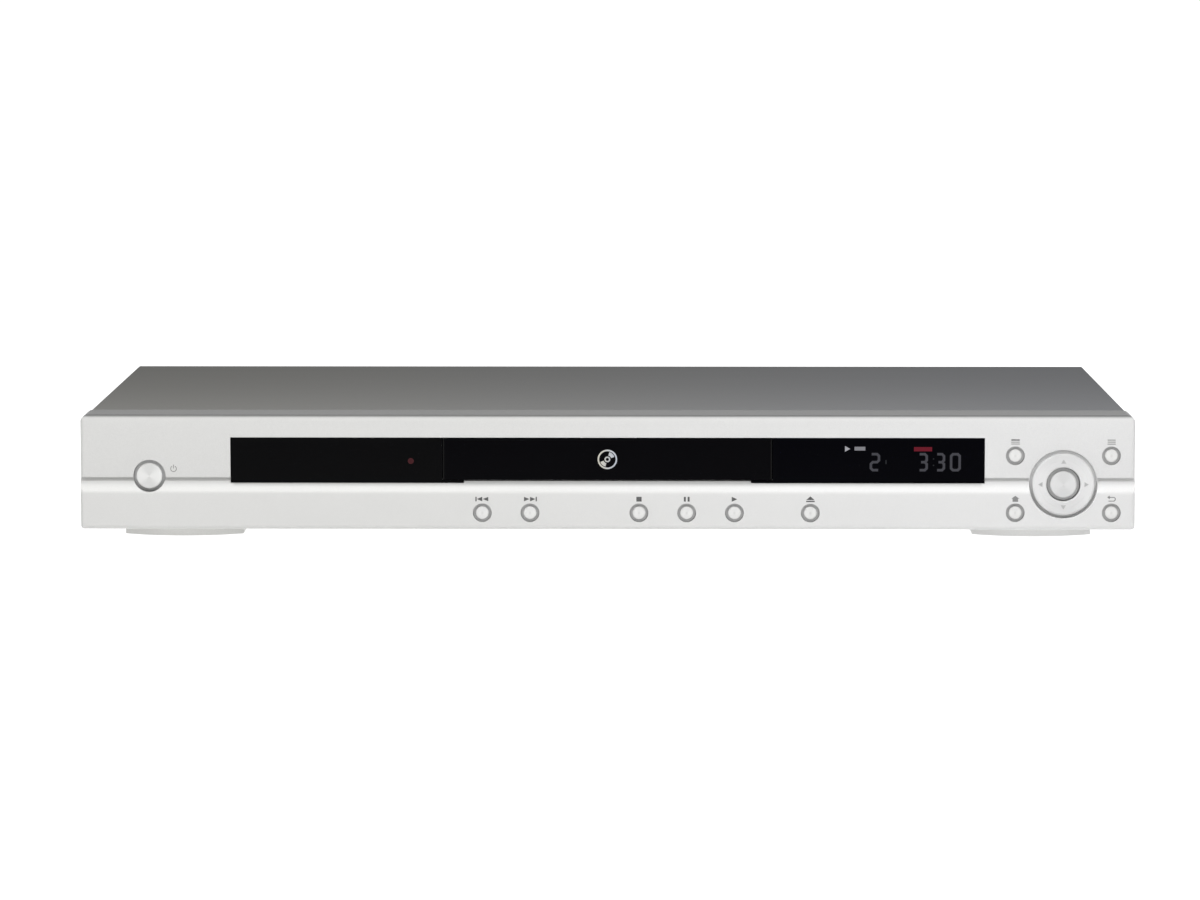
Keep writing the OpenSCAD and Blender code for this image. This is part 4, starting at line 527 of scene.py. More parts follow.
def turned_silver(name, node, colour, ring_pitch, painted_fan, start=0.0, pip=0.0, moat_shade=MOAT_PAINTED_SHADE):
    """Silver turned round the piece's middle: the bump is a sine of the distance in x and z, painted_fan is
    the share of a painted highlight by which the left and right are lighter and the top and bottom darker,
    pip is the radius of a faint dot left by the mould. A ring has a start: a radius on its face, in
    millimetres, from which both its edges are sought."""
    cap = Finish(name, colour, 0.33, specular=0.35)
    middle = middle_of(node)
    across, up = cap.x - middle.x, cap.z - middle.z
    square = across * across + up * up + NOT_ZERO
    radius = cap.maths("SQRT", square)
    rings = cap.maths("SINE", radius * (2 * math.pi / (ring_pitch * MM))) * 0.5 + 0.5
    flakes = cap.grain(0.1)
    # Painted highlight: the base colour lighter left and right of the middle, darker above and below.
    painted_fans = cap.spread((across * across - up * up) / square, -1.0, 1.0, 1 - painted_fan, 1 + painted_fan)
    shade = painted_fans * (flakes * 0.03 + rings * 0.02 + 0.95)
    if pip:
        shade = shade * (1 - (radius < pip * MM) * PIP_DARKER)
    face = cap.mix(colour, shade, 1.0, "MULTIPLY")
    moat = radius > cap_edge(node, start, 1) - CAP_RIM
    if start:
        moat = moat + (radius < cap_edge(node, start, -1) + WALL_RIM)
    # The moat shows its painted shade in place of the silver face.
    cap.put("Base Color", cap.mix(face, moat_shade, moat))
    cap.roughen(flakes, 0.28, 0.40)
    cap.bump(rings * 0.7 + flakes * 0.3, 0.003)
    return cap


dress(turned_silver("standby_silver", "standby_button", (0.68, 0.68, 0.67), 0.55, 0.08), "standby_button")
dress(turned_silver("ring_silver", "navigation_ring", grey(0.67), 0.5, 0.05, RING_MIDWAY,
                    moat_shade=RING_MOAT_PAINTED_SHADE), "navigation_ring")
dress(turned_silver("enter_silver", "enter_button", grey(0.63), 0.45, 0.04), "enter_button")
for key in KEY_ROW:
    dress(turned_silver(key + "_silver", key + "_button", (0.71, 0.71, 0.70), 0.35, 0.02, pip=0.55),
          key + "_button")

# %% [markdown]
# ## The black band
# Both windows and the door are smoked acrylic, which looks black because almost all light goes in and
# stays in. With a normal plastic's gloss a white tent would turn it grey, so its specular level is low.
# The display side is a touch bluer, as the filter in front of a display tube is.

# %% Smoked acrylic
BEVEL_W = 0.5 * MM
DUST_GREY = grey(0.02)


def smoked(name, node, colour, haze, edge):
    """Glossy black whose colour and gloss vary by a trace of dust and handling, as clouds and specks. Edge is
    the colour of the narrow bevels at both ends of the piece: on the door a painted highlight, lighter
    than the black."""
    black = Finish(name, colour, 0.08, specular=0.02)
    clouds = black.grain(18, stretch=(3, 1, 1), detail=4.0)
    specks = black.spread(black.grain(0.25, detail=1.0), 0.72, 0.80)
    lighter = tuple(v + haze for v in colour)
    low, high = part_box(node)
    off_middle = black.maths("ABSOLUTE", black.x - (low.x + high.x) / 2)
    bevel = off_middle > (high.x - low.x) / 2 - BEVEL_W
    plain = black.mix(black.mix(colour, lighter, clouds), DUST_GREY, specks * 0.3)
    black.put("Base Color", black.mix(plain, edge, bevel))
    black.roughen(clouds, 0.06, 0.12, (0.3, 0.7))
    black.bump(clouds, 0.01, 0.2)
    return black


window_black = (0.0022, 0.0022, 0.0025)
door_black = (0.0011, 0.0010, 0.0016)
filter_black = (0.0003, 0.0003, 0.0012)
dress(smoked("left_window_black", "left_window", window_black, 0.0006, window_black), "left_window")
# The door's bevels take a painted highlight, lighter than the door's black.
dress(smoked("door_black", "tray_door", door_black, 0.0005, grey(0.008)), "tray_door")
dress(smoked("display_filter", "display_window", filter_black, 0.0002, filter_black), "display_window")

# %% [markdown]
# ## The steel cover
# The cover is a folded sheet under a dark grey, slightly metallic coat. Seen at a flat angle it is a mid
# grey that fades towards the back. The coat has the fine texture of powder, which is a bump, and faint
# lengthwise streaks from the rolled sheet, which show a little in the grey and mostly in the sheen.

# %% Cover coat
coat = Finish("cover_coat", grey(0.27), 0.6, specular=0.0)
powder = coat.grain(0.35, detail=3.0)
streaks = coat.grain(0.9, stretch=(60, 1, 1))
warm_grey, cool_grey = (0.270, 0.268, 0.256), (0.266, 0.270, 0.279)
hue = coat.mix(warm_grey, cool_grey, coat.spread(coat.x, -panel_w / 2 * MM, panel_w / 2 * MM))
shade = coat.mix(grey(0.92), grey(1.07), powder * 0.7 + streaks * 0.3)
coat.put("Base Color", coat.mix(hue, shade, 1.0, "MULTIPLY"))
coat.roughen(streaks, 0.55, 0.70, (0.25, 0.75))
coat.bump(powder, 0.02, 0.5)
dress(coat, "top_cover")

# %% [markdown]
# ## Bare and coated steel
# Inside, most sheet is zinc-plated. Its look is the spangle: crystals a few millimetres wide that each
# reflect a little differently. Voronoi cells give one random value per crystal, which moves the roughness
# and the colour. Screws, rods and motor cans are plain steel with fine streaks along one axis.

# %% Steel finishes
def spangled(name, colour, crystal):
    """Zinc plate: each Voronoi cell, crystal millimetres wide, has its own shade and gloss."""
    zinc = Finish(name, colour, 0.4, 0.85)
    one = zinc.cells(crystal)
    fine = zinc.grain(0.6, detail=3.0)
    dark = tuple(v * 0.86 for v in colour)
    zinc.put("Base Color", zinc.mix(dark, colour, one * 0.7 + fine * 0.3))
    zinc.put("Roughness", one * 0.14 + fine * 0.08 + 0.28)
    zinc.bump(fine, 0.01, 0.3)
    return zinc


def drawn(name, colour, stretch, roughness=0.3, metallic=0.9):
    """Plain metal with fine streaks, drawn out along the axis where stretch is large."""
    steel = Finish(name, colour, roughness, metallic)
    lines = steel.grain(0.25, stretch=stretch, detail=3.0)
    stain = steel.grain(6, detail=3.0)
    dark = tuple(v * 0.82 for v in colour)
    steel.put("Base Color", steel.mix(dark, colour, lines * 0.5 + stain * 0.5))
    steel.put("Roughness", lines * 0.16 + roughness - 0.08)
    steel.bump(lines, 0.006, 0.4)
    return steel


dress(spangled("zinc_sheet", (0.62, 0.63, 0.62), 3.5), "bottom_chassis")
dress(spangled("deck_zinc", (0.66, 0.67, 0.67), 2.4), "clamp_bridge", "mech_deck")
dress(drawn("screw_steel", (0.68, 0.67, 0.64), (1, 1, 1)), "inner_screws")
dress(drawn("rod_steel", grey(0.72), (1, 40, 1), 0.2), "guide_rods", "lead_screw")
dress(drawn("motor_can_steel", (0.60, 0.60, 0.58), (1, 1, 20), 0.32),
      "loading_motor", "spindle_motor", "sled_motor")
dress(drawn("shell_steel", (0.70, 0.70, 0.69), (1, 25, 1), 0.25), "hdmi_socket")
dress(drawn("black_oxide", (0.035, 0.035, 0.038), (1, 1, 1), 0.4, 0.6), "cover_screws")
dress(drawn("nickel_plate", (0.75, 0.73, 0.68), (1, 12, 1), 0.16, 1.0), "jack_shells")
dress(drawn("cast_metal", (0.46, 0.46, 0.47), (1, 1, 1), 0.45, 0.7), "pickup_head")

# %% [markdown]
# The rear panel is painted and not plated, in the cover's grey but flatter. Powder paint has an orange
# peel of half a millimetre: low bumps, evenly spread, with soft rims.

# %% Rear paint
rear_paint = Finish("rear_paint", (0.20, 0.20, 0.205), 0.6, specular=0.3)
peel = rear_paint.grain(0.5)
rear_paint.put("Base Color", rear_paint.mix((0.18, 0.18, 0.184), (0.22, 0.22, 0.224), rear_paint.grain(3)))
rear_paint.roughen(peel, 0.5, 0.7)
rear_paint.bump(peel, 0.03, 0.5)
dress(rear_paint, "rear_panel")

# %% [markdown]
# ## Rubber and moulded plastics
# A dark moulding is never quite black: it has a spark-eroded texture that catches light as tiny dots, and
# it is paler in clouds, where the plastic flowed. Rubber is the same with hardly any gloss. Natural acetal,
# the stuff of the gears, is off-white, with a soft gloss.

# %% Plastics
def moulded(name, colour, roughness, eroded=0.3, gloss=0.4):
    """Moulded plastic: eroded is the width of its texture's dots in millimetres."""
    plastic = Finish(name, colour, roughness, specular=gloss)
    dots = plastic.grain(eroded)
    flow = plastic.grain(14, stretch=(2, 1, 1), detail=3.0)
    lighter = tuple(v * 1.25 + 0.004 for v in colour)
    plastic.put("Base Color", plastic.mix(colour, lighter, dots * 0.4 + flow * 0.6))
    plastic.roughen(dots, roughness - 0.08, roughness + 0.08)
    plastic.bump(dots, 0.015, 0.5)
    return plastic


dress(moulded("tray_plastic", (0.035, 0.035, 0.038), 0.45), "disc_tray")
dress(moulded("frame_plastic", (0.028, 0.028, 0.030), 0.5), "loader_frame", "traverse_frame")
dress(moulded("turntable_plastic", (0.03, 0.03, 0.032), 0.4), "turntable")
dress(moulded("switch_plastic", (0.04, 0.04, 0.042), 0.4, 0.2), "tact_switches")
dress(moulded("package_epoxy", (0.022, 0.022, 0.024), 0.55, 0.15), "main_chips")
dress(moulded("inlet_plastic", (0.018, 0.018, 0.019), 0.35), "mains_inlet")
dress(moulded("acetal", (0.72, 0.69, 0.60), 0.35, 0.6), "drive_gear", "pulley_gear", "motor_pulley",
      "cam_slider", "disc_clamper")
dress(moulded("gimbal_acetal", (0.62, 0.62, 0.60), 0.4, 0.4), "ring_gimbal")
dress(moulded("foot_rubber", grey(0.030), 0.85, 0.4, 0.2), "rear_feet")
dress(moulded("pad_rubber", (0.60, 0.60, 0.59), 0.8, 0.4, 0.2), "foot_pads")
dress(moulded("bush_rubber", (0.025, 0.025, 0.026), 0.8, 0.3, 0.2), "damper_bushes")
dress(moulded("belt_rubber", (0.020, 0.020, 0.021), 0.7, 0.2, 0.25), "drive_belt")
dress(moulded("tube_glass", (0.03, 0.045, 0.045), 0.2, 1.2, 0.5), "display_module")

# %% [markdown]
# ## Circuit boards
# A board is green or brown lacquer over copper. The tracks are a pattern in the board's plane: two sets of
# lines, one along each axis, broken up by large square cells so that they stop and turn as tracks do. The
# fraction of a coordinate over the pitch, compared with a width, is a line, and the random value of a cell
# says which way its lines run, or whether it has any.

# %% Tracks
TRACK_PITCH = 1.27
TRACK_SHARE = 0.42
TRACK_CELL = 9


def stripe(bench, coordinate, pitch, share):
    """1 on a line: where the fraction of coordinate over pitch, in millimetres, is below share."""
    return bench.maths("FRACT", coordinate * (1 / (pitch * MM))) < share


def board(name, ground, track, second, gloss):
    """Lacquered board with tracks along x and a second axis, which share the plane by large random cells."""
    plate = Finish(name, ground, 0.35, specular=gloss)
    lot = plate.cells(TRACK_CELL, distance="CHEBYCHEV")
    along = stripe(plate, plate.x, TRACK_PITCH, TRACK_SHARE) * (lot > 0.55)
    across = stripe(plate, getattr(plate, second), TRACK_PITCH, TRACK_SHARE) * (lot < 0.35)
    tracks = plate.maths("MAXIMUM", along, across)
    plate.put("Base Color", plate.mix(ground, track, tracks))
    plate.roughen(plate.grain(4), 0.28, 0.45, (0.3, 0.7))
    plate.bump(tracks, 0.035, 0.6)
    return plate


BOARD_GREEN, TRACK_GREEN = (0.012, 0.075, 0.030), (0.030, 0.150, 0.050)
dress(board("front_board_green", BOARD_GREEN, TRACK_GREEN, "z", 0.5), "control_board")
dress(board("main_board_green", BOARD_GREEN, TRACK_GREEN, "y", 0.5), "main_board")
dress(board("paper_board", (0.36, 0.22, 0.085), (0.45, 0.30, 0.13), "y", 0.4), "power_board")

# %% [markdown]
# ## The small coloured things
# What is left is each of a kind. The phono inserts tell their jobs by colour, so their finish looks up its
# colour from x. The capacitors wear a sleeve printed with pale patches and have a bare metal top, the
# transformer is dark ferrite round a yellow-taped winding, and the ribbon cable shows its copper through a
# white film.

# %% Jacks, cans, core, ribbon, lens and lamp
jack_low, jack_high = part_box("jack_shells")
JACK_COLOURS = [(0.62, 0.50, 0.03), (0.03, 0.25, 0.07), (0.03, 0.08, 0.40),
                (0.45, 0.02, 0.02), (0.72, 0.72, 0.70), (0.45, 0.02, 0.02)]
insert = Finish("jack_inserts", JACK_COLOURS[0], 0.35, specular=0.4)
share_of_row = (insert.x - jack_low.x) / (jack_high.x - jack_low.x)
stops = [(i / len(JACK_COLOURS), colour) for i, colour in enumerate(JACK_COLOURS)]
row = insert.add("ShaderNodeValToRGB", {"stops": stops}, {"Fac": share_of_row}, "Color")
row.socket.node.color_ramp.interpolation = "CONSTANT"
outside = insert.y > float(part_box("rear_panel")[1].y)
body_black = insert.mix(grey(0.02), (0.03, 0.03, 0.032), insert.grain(0.4))
insert.put("Base Color", insert.mix(body_black, row, outside))
insert.roughen(insert.grain(0.5), 0.3, 0.42)
dress(insert, "phono_jacks")

SLEEVE_BLUE = (0.03, 0.04, 0.09)
sleeve = Finish("can_sleeve", SLEEVE_BLUE, 0.3)
bare_top = sleeve.upward() > 0.9
patches = stripe(sleeve, sleeve.z, 4.2, 0.30) * (sleeve.grain(7) > 0.56)
printed = sleeve.mix(SLEEVE_BLUE, (0.30, 0.32, 0.36), patches)
sleeve.put("Base Color", sleeve.mix(printed, grey(0.62), bare_top))
sleeve.put("Metallic", bare_top * 0.9)
sleeve.roughen(sleeve.grain(0.8), 0.25, 0.4)
dress(sleeve, "capacitors")

core = Finish("ferrite_core", (0.05, 0.05, 0.055), 0.6)
CORE_HALF = 6.2
BOBBIN_FOOT = 5.0
core_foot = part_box("power_transformer")[0].z
off_middle = core.maths("ABSOLUTE", core.y - middle_of("power_transformer").y)
taped = (off_middle > CORE_HALF * MM) * (core.z > core_foot + BOBBIN_FOOT * MM)
tape = core.mix((0.55, 0.40, 0.06), (0.62, 0.47, 0.10), core.grain(2, stretch=(4, 4, 1)))
dust = core.mix((0.045, 0.045, 0.05), (0.075, 0.075, 0.08), core.grain(0.5))
core.put("Base Color", core.mix(dust, tape, taped))
core.roughen(core.grain(0.5), 0.45, 0.7)
core.bump(core.grain(0.5), 0.03, 0.4)
dress(core, "power_transformer")

ribbon = Finish("ribbon_film", (0.72, 0.74, 0.74), 0.35)
copper = stripe(ribbon, ribbon.x, 1.0, 0.6)
covered = ribbon.mix((0.78, 0.80, 0.80), (0.60, 0.60, 0.58), copper)
ribbon.put("Base Color", ribbon.mix(covered, (0.68, 0.70, 0.70), ribbon.grain(5) * 0.4))
ribbon.put("Roughness", copper * 0.1 + 0.3)
ribbon.bump(copper, 0.02, 0.5)
dress(ribbon, "flat_cable")

glass = Finish("coated_lens", (0.30, 0.34, 0.62), 0.05)
glass.put("Coat Weight", 1.0)
glass.put("Coat Roughness", 0.02)
GLASS_RADIUS = 2.4 * MM
lens_mid = middle_of("objective_lens")
out_x, out_y = glass.x - lens_mid.x, glass.y - lens_mid.y
from_axis = glass.maths("SQRT", out_x * out_x + out_y * out_y)
in_glass = from_axis < GLASS_RADIUS
bloom = glass.mix((0.10, 0.12, 0.35), (0.30, 0.16, 0.42), glass.spread(from_axis, 0.0, GLASS_RADIUS))
glass.put("Base Color", glass.mix(grey(0.05), bloom, in_glass))
glass.put("Roughness", 0.4 - in_glass * 0.35)
dress(glass, "objective_lens")

lamp_red = Finish("lamp_red", (0.35, 0.01, 0.01), 0.25)
lamp_red.put("Base Color", lamp_red.mix((0.30, 0.008, 0.008), (0.42, 0.02, 0.02), lamp_red.grain(0.8)))
lamp_red.roughen(lamp_red.grain(0.5), 0.2, 0.32)
dress(lamp_red, "indicator_led")
missing = [n for n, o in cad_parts.items() if o.material_slots[0].material.name not in finishes]
print("pieces of the frame without a finish:", missing)

# %% [markdown]
# ## Printed signs
# The signs by the buttons are pad-printed ink: a grey film with next to no height. An image on the panel
# would blur close up, so here each sign is a thin closed plate, five hundredths of a millimetre thick and
# sunk in by two, so that it can't hover. Its shape is worked out flat, in millimetres across and up from
# the sign's middle, as an outline or as the space between two. Its depth runs from 0 in front to 1 behind.

# %% Plates and rings
def plate(outline):
    """A closed plate: the outline of n points in front and again behind, one face over each, and a wall of
    one quad per edge, which joins points i and i + 1 of the front to the same two of the back."""
    outline = np.asarray(outline, float)
    n = len(outline)
    here = np.arange(n)
    following = np.roll(here, -1)
    walls = np.column_stack([here, here + n, following + n, following])
    return np.vstack([outline, outline]), np.repeat([0, 1], n), [here, here[::-1] + n, *walls]


def hoop(outer, inner):
    """A closed flat ring between two outlines of n points: quads in front, behind, outside and inside."""
    n = len(outer)
    here = np.arange(n)
    following = np.roll(here, -1)
    front_quads = np.column_stack([here, following, following + n, here + n])
    outside = np.column_stack([here, here + 2 * n, following + 2 * n, following])
    inside = np.column_stack([following + n, following + 3 * n, here + 3 * n, here + n])
    quads = np.vstack([front_quads, front_quads[:, ::-1] + 2 * n, outside, inside])
    return np.vstack([outer, inner, outer, inner]), np.repeat([0, 1], 2 * n), list(quads)


def line(path, width):
    """A line along an open path. Each point is shifted to both sides along its mitre, which is the mean of
    the two ways that meet there, by half the width over the cosine of half the bend."""
    path = np.asarray(path, float)
    ways = np.diff(path, axis=0)
    ways /= np.linalg.norm(ways, axis=1)[:, None]
    before, after = np.vstack([ways[:1], ways]), np.vstack([ways, ways[-1:]])
    mean = before + after
    mean /= np.linalg.norm(mean, axis=1)[:, None]
    reach = width / 2 / np.sum(mean * before, axis=1)[:, None]
    left = np.column_stack([-mean[:, 1], mean[:, 0]]) * reach
    return plate(np.vstack([path - left, (path + left)[::-1]]))


square = line([(-0.5, 0), (0.5, 0)], 1)
print("a square plate has", len(square[0]), "points and", len(square[2]), "faces")

# %% [markdown]
# With those three, a sign is a short list of shapes. A circle is the cosine and sine of evenly spaced
# angles, and triangles and bars are enough for the signs that every player's keys carry.

# %% Shapes
def circle(radius, start=0, end=360, steps=32, x=0.0, z=0.0):
    """Points at x, z plus radius times the cosine and sine of angles from start to end, in degrees. A full
    turn leaves out the last point, because it is the first again."""
    turn = np.radians(np.linspace(start, end, steps, endpoint=end - start < 360))
    return np.column_stack([np.cos(turn), np.sin(turn)]) * radius + (x, z)


def bar(width, height, x=0.0, z=0.0):
    return line([(x - width / 2, z), (x + width / 2, z)], height)


def arrow(width, height, x=0.0, z=0.0, turn=0):
    """A triangle that points to the right, turned anticlockwise by turn degrees about its middle."""
    c, s = math.cos(math.radians(turn)), math.sin(math.radians(turn))
    corners = np.array([(-width / 2, -height / 2), (width / 2, 0), (-width / 2, height / 2)])
    return plate(corners @ np.array([(c, s), (-s, c)]) + (x, z))


def ring(radius, width):
    return hoop(circle(radius + width / 2), circle(radius - width / 2))


KEY_SIGNS = {
    "skip_back": [bar(0.5, 1.8, -2.5), arrow(2.2, 1.8, -1.1, 0, 180), arrow(2.2, 1.8, 1.3, 0, 180)],
    "skip_forward": [arrow(2.2, 1.8, -1.3), arrow(2.2, 1.8, 1.1), bar(0.5, 1.8, 2.5)],
    "stop": [bar(2.1, 1.9)],
    "pause": [bar(0.8, 1.9, -0.75), bar(0.8, 1.9, 0.75)],
    "play": [arrow(2.2, 2.0)],
    "open_close": [arrow(1.5, 3.4, 0, 0.45, 90), bar(3.4, 0.5, 0, -0.85)],
    "top_menu": [bar(3.4, 0.65, 0, 0.8), bar(3.4, 0.3, 0, -0.05), bar(3.4, 0.3, 0, -0.8)],
    "menu": [bar(3.2, 0.35, 0, z) for z in (0.8, 0, -0.8)],
    "home_menu": [plate([(-1.1, -1.1), (1.1, -1.1), (1.1, 0.1), (1.6, 0.1), (0, 1.3), (-1.6, 0.1),
                         (-1.1, 0.1)])],
    "return": [line(np.vstack([[(-0.7, 0.7)], circle(0.75, 90, -90, 9, 0.8, -0.05), [(-1.2, -0.8)]]), 0.35),
               arrow(1.0, 1.5, -1.2, 0.7, 180)],
}
POWER_SIGN = [line(circle(1.15, 120, 420, 25), 0.32), bar(0.32, 1.5, 0, 0.85)]
print("signs:", ", ".join(KEY_SIGNS))

# %% [markdown]
# The film has to lie on what carries it wherever the sign is, so its depth isn't typed in. A ray shot back
# at each point of the sign says where the surface is, and the film follows the dish of the ring. The
# signs of one ink on one body become one mesh, which then rides on that body: the marks on the ring rock
# with it, and the sign on the door runs out with the tray.

# %% Ink on a surface
FILM = 0.05
SUNK = 0.02


def finished(name, points, faces, finish):
    """An object in its finish, from points in millimetres on the case and each face's point numbers."""
    mesh = bpy.data.meshes.new(name)
    mesh.from_pydata(on_case(points).tolist(), [], [np.asarray(face).tolist() for face in faces])
    mesh.materials.append(finish.material)
    piece = bpy.data.objects.new(name, mesh)
    bpy.context.scene.collection.objects.link(piece)
    print(f"{name}: {len(points)} points, {len(faces)} faces")
    return piece


def film(name, node, body, finish, signs):
    """One mesh of film. A sign is its middle and its shapes: they move to that middle, and a shape's depth
    of 0 to 1 becomes the film's front and back, about the face that carries it at each point."""
    points, faces, count = [], [], 0
    for middle, shapes in signs:
        for flat, depth, corners in shapes:
            places = flat + middle
            face = np.array([depth_at(node, x, z) for x, z in places])
            points.append(np.column_stack([places[:, 0], face + SUNK - FILM * (1 - depth), places[:, 1]]))
            faces += [np.asarray(one) + count for one in corners]
            count += len(flat)
    piece = finished(name, np.vstack(points), faces, finish)
    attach(piece, body)


# %% [markdown]
# Ink on lacquer isn't even either: it is thin where the pad lifted off, so its grey wavers a little.

# %% Print on the panel and the ring
def inked(name, colour, thin):
    """Flat ink: its colour wavers towards thin, as the film gets thinner, in spots of half a millimetre."""
    ink = Finish(name, colour, 0.6, specular=0.2)
    ink.put("Base Color", ink.mix(colour, thin, ink.spread(ink.grain(0.5), 0.35, 0.75)))
    ink.roughen(ink.grain(0.2), 0.5, 0.7)
    return ink


SIGN_RISE = 5.5
STANDBY_SIGN_OFF = (9.6, 2.8)
panel_ink = inked("panel_ink", grey(0.09), grey(0.14))
menu_ink = inked("menu_ink", grey(0.20), grey(0.28))


def signs_above(keys):
    return [(on_face(key + "_button") + (0, SIGN_RISE), KEY_SIGNS[key]) for key in keys]


film("key_signs", "front_panel", "case", panel_ink, signs_above(KEY_ROW[:6]))
film("menu_signs", "front_panel", "case", menu_ink, signs_above(KEY_ROW[6:]))
faint_ink = inked("faint_ink", (0.24, 0.24, 0.23), (0.32, 0.32, 0.31))
film("standby_sign", "front_panel", "case", faint_ink,
     [(on_face("standby_button") + STANDBY_SIGN_OFF, POWER_SIGN)])

ring_ink = inked("ring_ink", grey(0.40), grey(0.50))
marks = [(on_face("navigation_ring") + RING_MIDWAY * np.array([math.cos(a), math.sin(a)]),
          [arrow(1.7, 2.0, turn=math.degrees(a))]) for a in np.radians((0, 90, 180, 270))]
film("ring_signs", "navigation_ring", "navigation_ring", ring_ink, marks)

# %% [markdown]
# ## Small mouldings
# The ring can rock, so it has more room in its bore than the keys, and a slot that wide would show the dark
# inside. That bore gets a lip: a thin ring at the depth of the ring's own flange, from just outside the
# flange to just inside the panel. Its pale grey, lighter than the panel's silver, is painted light that
# lifts the slot out of its shade. The other two pieces are trims round the front feet, which give them a
# nearly flat front and steep ends: a wall a millimetre thick along a shallow arc, with a return at each
# end. It is the same kind of line as a sign, but its plan lies in x and y and its depth runs down.

# %% Bore lip and foot trims
BORE_STEPS = 96
RING_CLEAR = 0.08
LIP_HALF = 0.1
LIP_IN_WALL = 0.05
PAST_CAP = 0.3
TRIM_FRONT = 10.0
TRIM_RADIUS = 45.0
TRIM_HALF = 23.2
TRIM_BACK = 30.0
TRIM_WALL = 1.0
FOOT_MIDDLE = 170.1
GAP_TO_FLOOR = 0.05


def moulding(name, points, faces, finish):
    piece = finished(name, points, faces, finish)
    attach(piece, "case")


ring_x, ring_z = on_face("navigation_ring")
ring_bore = bore_edge("navigation_ring") / MM
ring_cap = cap_edge("navigation_ring", RING_MIDWAY, 1) / MM
flange = ring_bore
flange_y = depth_at("navigation_ring", ring_x, ring_z + ring_cap + PAST_CAP)
while depth_at("navigation_ring", ring_x, ring_z + flange) > flange_y + LIP_HALF:
    flange -= RAY_STEP
outer = circle(ring_bore + LIP_IN_WALL, steps=BORE_STEPS, x=ring_x, z=ring_z)
inner = circle(flange + RAY_STEP + RING_CLEAR, steps=BORE_STEPS, x=ring_x, z=ring_z)
flat, depth, quads = hoop(outer, inner)
lip_y = flange_y + LIP_HALF * (2 * depth - 1)
# Painted light: the lip is paler than the silver round it, to lift the shade in the ring's slot.
lip_painted_light = inked("lip_painted_light", grey(0.84), grey(0.88))
moulding("bore_lip", np.column_stack([flat[:, 0], lip_y, flat[:, 1]]), quads, lip_painted_light)

ends = math.degrees(math.asin(TRIM_HALF / TRIM_RADIUS))
arc = circle(TRIM_RADIUS, 270 - ends, 270 + ends, 25, 0.0, TRIM_FRONT + TRIM_WALL / 2 + TRIM_RADIUS)
path = np.vstack([[(-TRIM_HALF, TRIM_BACK)], arc, [(TRIM_HALF, TRIM_BACK)]])
plan, depth, walls = line(path, TRIM_WALL)
floor_z = -case_zero[2] / MM + GAP_TO_FLOOR
for side, way in (("left", -1), ("right", 1)):
    trim = np.column_stack([plan[:, 0] + way * FOOT_MIDDLE, plan[:, 1], depth * floor_z])
    moulding(side + "_foot_trim", trim, walls, foot_silver_painted_light)

# %% [markdown]
# The door carries a plain disc sign in foil: two rings for the rim and the hole, and two wedges for the
# light on its tracks. The warm colour on one side of the door's middle and the cool colour on the other are a
# painted sheen of split light, fixed in the foil's base colour.

# %% Disc sign on the door
foil = Finish("door_foil", (0.48, 0.48, 0.46), 0.4, 0.3)
TINT_HALF = 4.0 * MM
door_x = middle_of("tray_door").x
# Painted sheen: warm to the left of the door's middle, cool to the right.
side = foil.spread(foil.x, door_x - TINT_HALF, door_x + TINT_HALF)
painted_foil_sheen = foil.mix((0.46, 0.44, 0.36), (0.35, 0.39, 0.47), side)
foil.put("Base Color", foil.mix(painted_foil_sheen, (0.54, 0.54, 0.52), foil.grain(0.6) * 0.5))
foil.roughen(foil.grain(0.4), 0.25, 0.45)


def wedge(inner, outer, start, end):
    """The space between two radii and two angles, as one outline: out along one arc, back along the other."""
    return plate(np.vstack([circle(outer, start, end, 9), circle(inner, end, start, 9)]))


DISC_SIGN = [ring(3.6, 0.6), ring(0.9, 0.5), wedge(1.6, 3.0, 20, 75), wedge(1.6, 3.0, 200, 255)]
film("door_sign", "tray_door", "tray", foil, [(on_face("tray_door"), DISC_SIGN)])

# %% [markdown]
# ## Lit figures
# Behind the right window is a display tube: seven strokes per figure, coated with phosphor. Switched on in
# a bright room and seen through the dark filter it is only a dim grey, so the strokes glow faintly. Each
# figure is a hoop or one or two lines whose corners are cut. The time shown is an example.

# %% Figures
FIGURE_HALF = 3.2
STROKE_W = 1.0
CUT = 0.75


def cut_box(half_w, half_h, cut):
    """Outline of a box with cut corners: eight points, anticlockwise from the lower right."""
    quarter = np.array([(half_w, half_h - cut), (half_w - cut, half_h)])
    left = quarter[::-1] * (-1, 1)
    return np.vstack([quarter, left, quarter * -1, left * -1])


def zero(half_w):
    grow = STROKE_W / 2
    return [hoop(cut_box(half_w + grow, FIGURE_HALF + grow, CUT + grow / 2),
                 cut_box(half_w - grow, FIGURE_HALF - grow, CUT - grow / 2))]


def two(half_w):
    w, h, c = half_w, FIGURE_HALF, CUT
    return [line([(0.3 - w, h), (w - c, h), (w, h - c), (w, c), (w - c, 0), (c - w, 0), (-w, -c),
                  (-w, c - h), (c - w, -h), (w - 0.3, -h)], STROKE_W)]


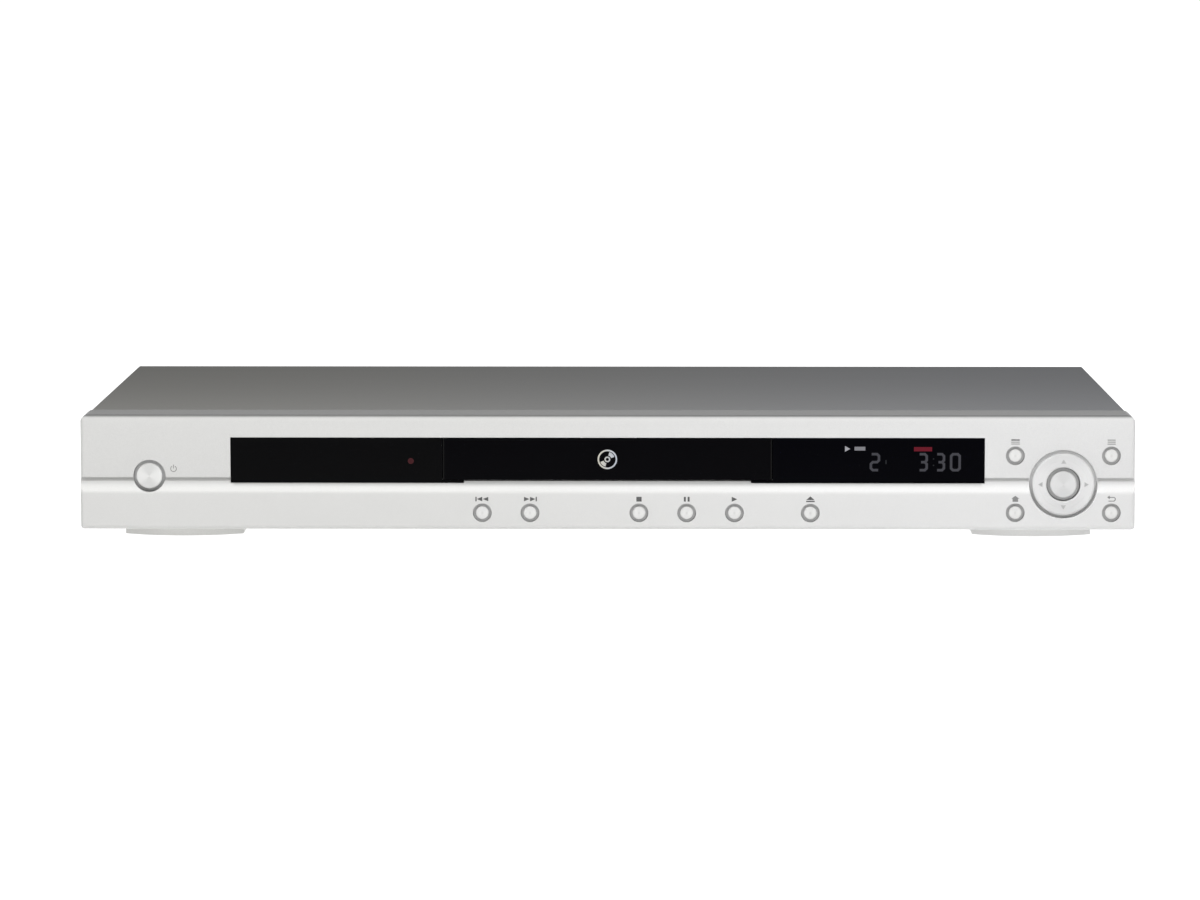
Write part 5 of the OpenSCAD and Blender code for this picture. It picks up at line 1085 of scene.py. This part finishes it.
def three(half_w):
    w, h, c = half_w, FIGURE_HALF, CUT
    upper = line([(-w, h), (w - c, h), (w, h - c), (w, c), (w - c, 0), (-0.6 * w, 0)], STROKE_W)
    lower = line([(w - c, 0), (w, -c), (w, c - h), (w - c, -h), (-w, -h)], STROKE_W)
    return [upper, lower]


def glowing(name, colour):
    """Phosphor behind a filter: a low emission that is a little patchy, over black."""
    lit = Finish(name, (0.004, 0.004, 0.005), 0.3, specular=0.02)
    lit.put("Emission Color", lit.mix(tuple(v * 0.8 for v in colour), colour, lit.grain(0.7)))
    lit.put("Emission Strength", 1.0)
    lit.roughen(lit.grain(0.4), 0.25, 0.35)
    return lit


display_middle = on_face("display_module")
figures = [((-7.6, -1.0), two(1.6)), ((11.6, -1.0), three(1.4)), ((18.5, -1.0), three(1.35)),
           ((24.4, -1.0), zero(1.7))]
dots = [((15.7, dz), [plate(circle(0.3, steps=12))]) for dz in (0.3, -2.3)]
dots.append(((-3.2, -1.0), [bar(0.5, 1.6)]))
play_mark = [((-18.5, 4.3), [arrow(2.1, 2.3)])]
level_bar = [((-13.6, 4.4), [bar(4.3, 1.5)])]
LIT_SIGNS = [
    ("display_figures", "display_glass", "figure_glow", (0.062, 0.062, 0.072), figures),
    ("display_dots", "display_glass", "dot_glow", (0.020, 0.022, 0.024), dots),
    ("display_play_mark", "display_glass", "play_glow", (0.40, 0.40, 0.43), play_mark),
    ("display_level_bar", "display_glass", "bar_glow", (0.24, 0.24, 0.26), level_bar),
    ("display_red_bar", "led_red", "red_glow", (0.150, 0.008, 0.018), [((11.5, 4.2), [bar(7.2, 1.7)])]),
]
for name, slot, glow_name, colour, places in LIT_SIGNS:
    signs = [(display_middle + place, shapes) for place, shapes in places]
    film(name, "display_window", "case", glowing(glow_name, colour), signs)
film("lamp_mark", "left_window", "case",
     glowing("lamp_glow", (0.060, 0.013, 0.015)), [(on_face("indicator_led"), [plate(circle(1.2))])])

# %% Sizes and finish
dressed_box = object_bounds()
for kind, box in (("cad", cad_box), ("dressed", dressed_box)):
    print(kind, "box", [[round(v, 4) for v in corner] for corner in box])
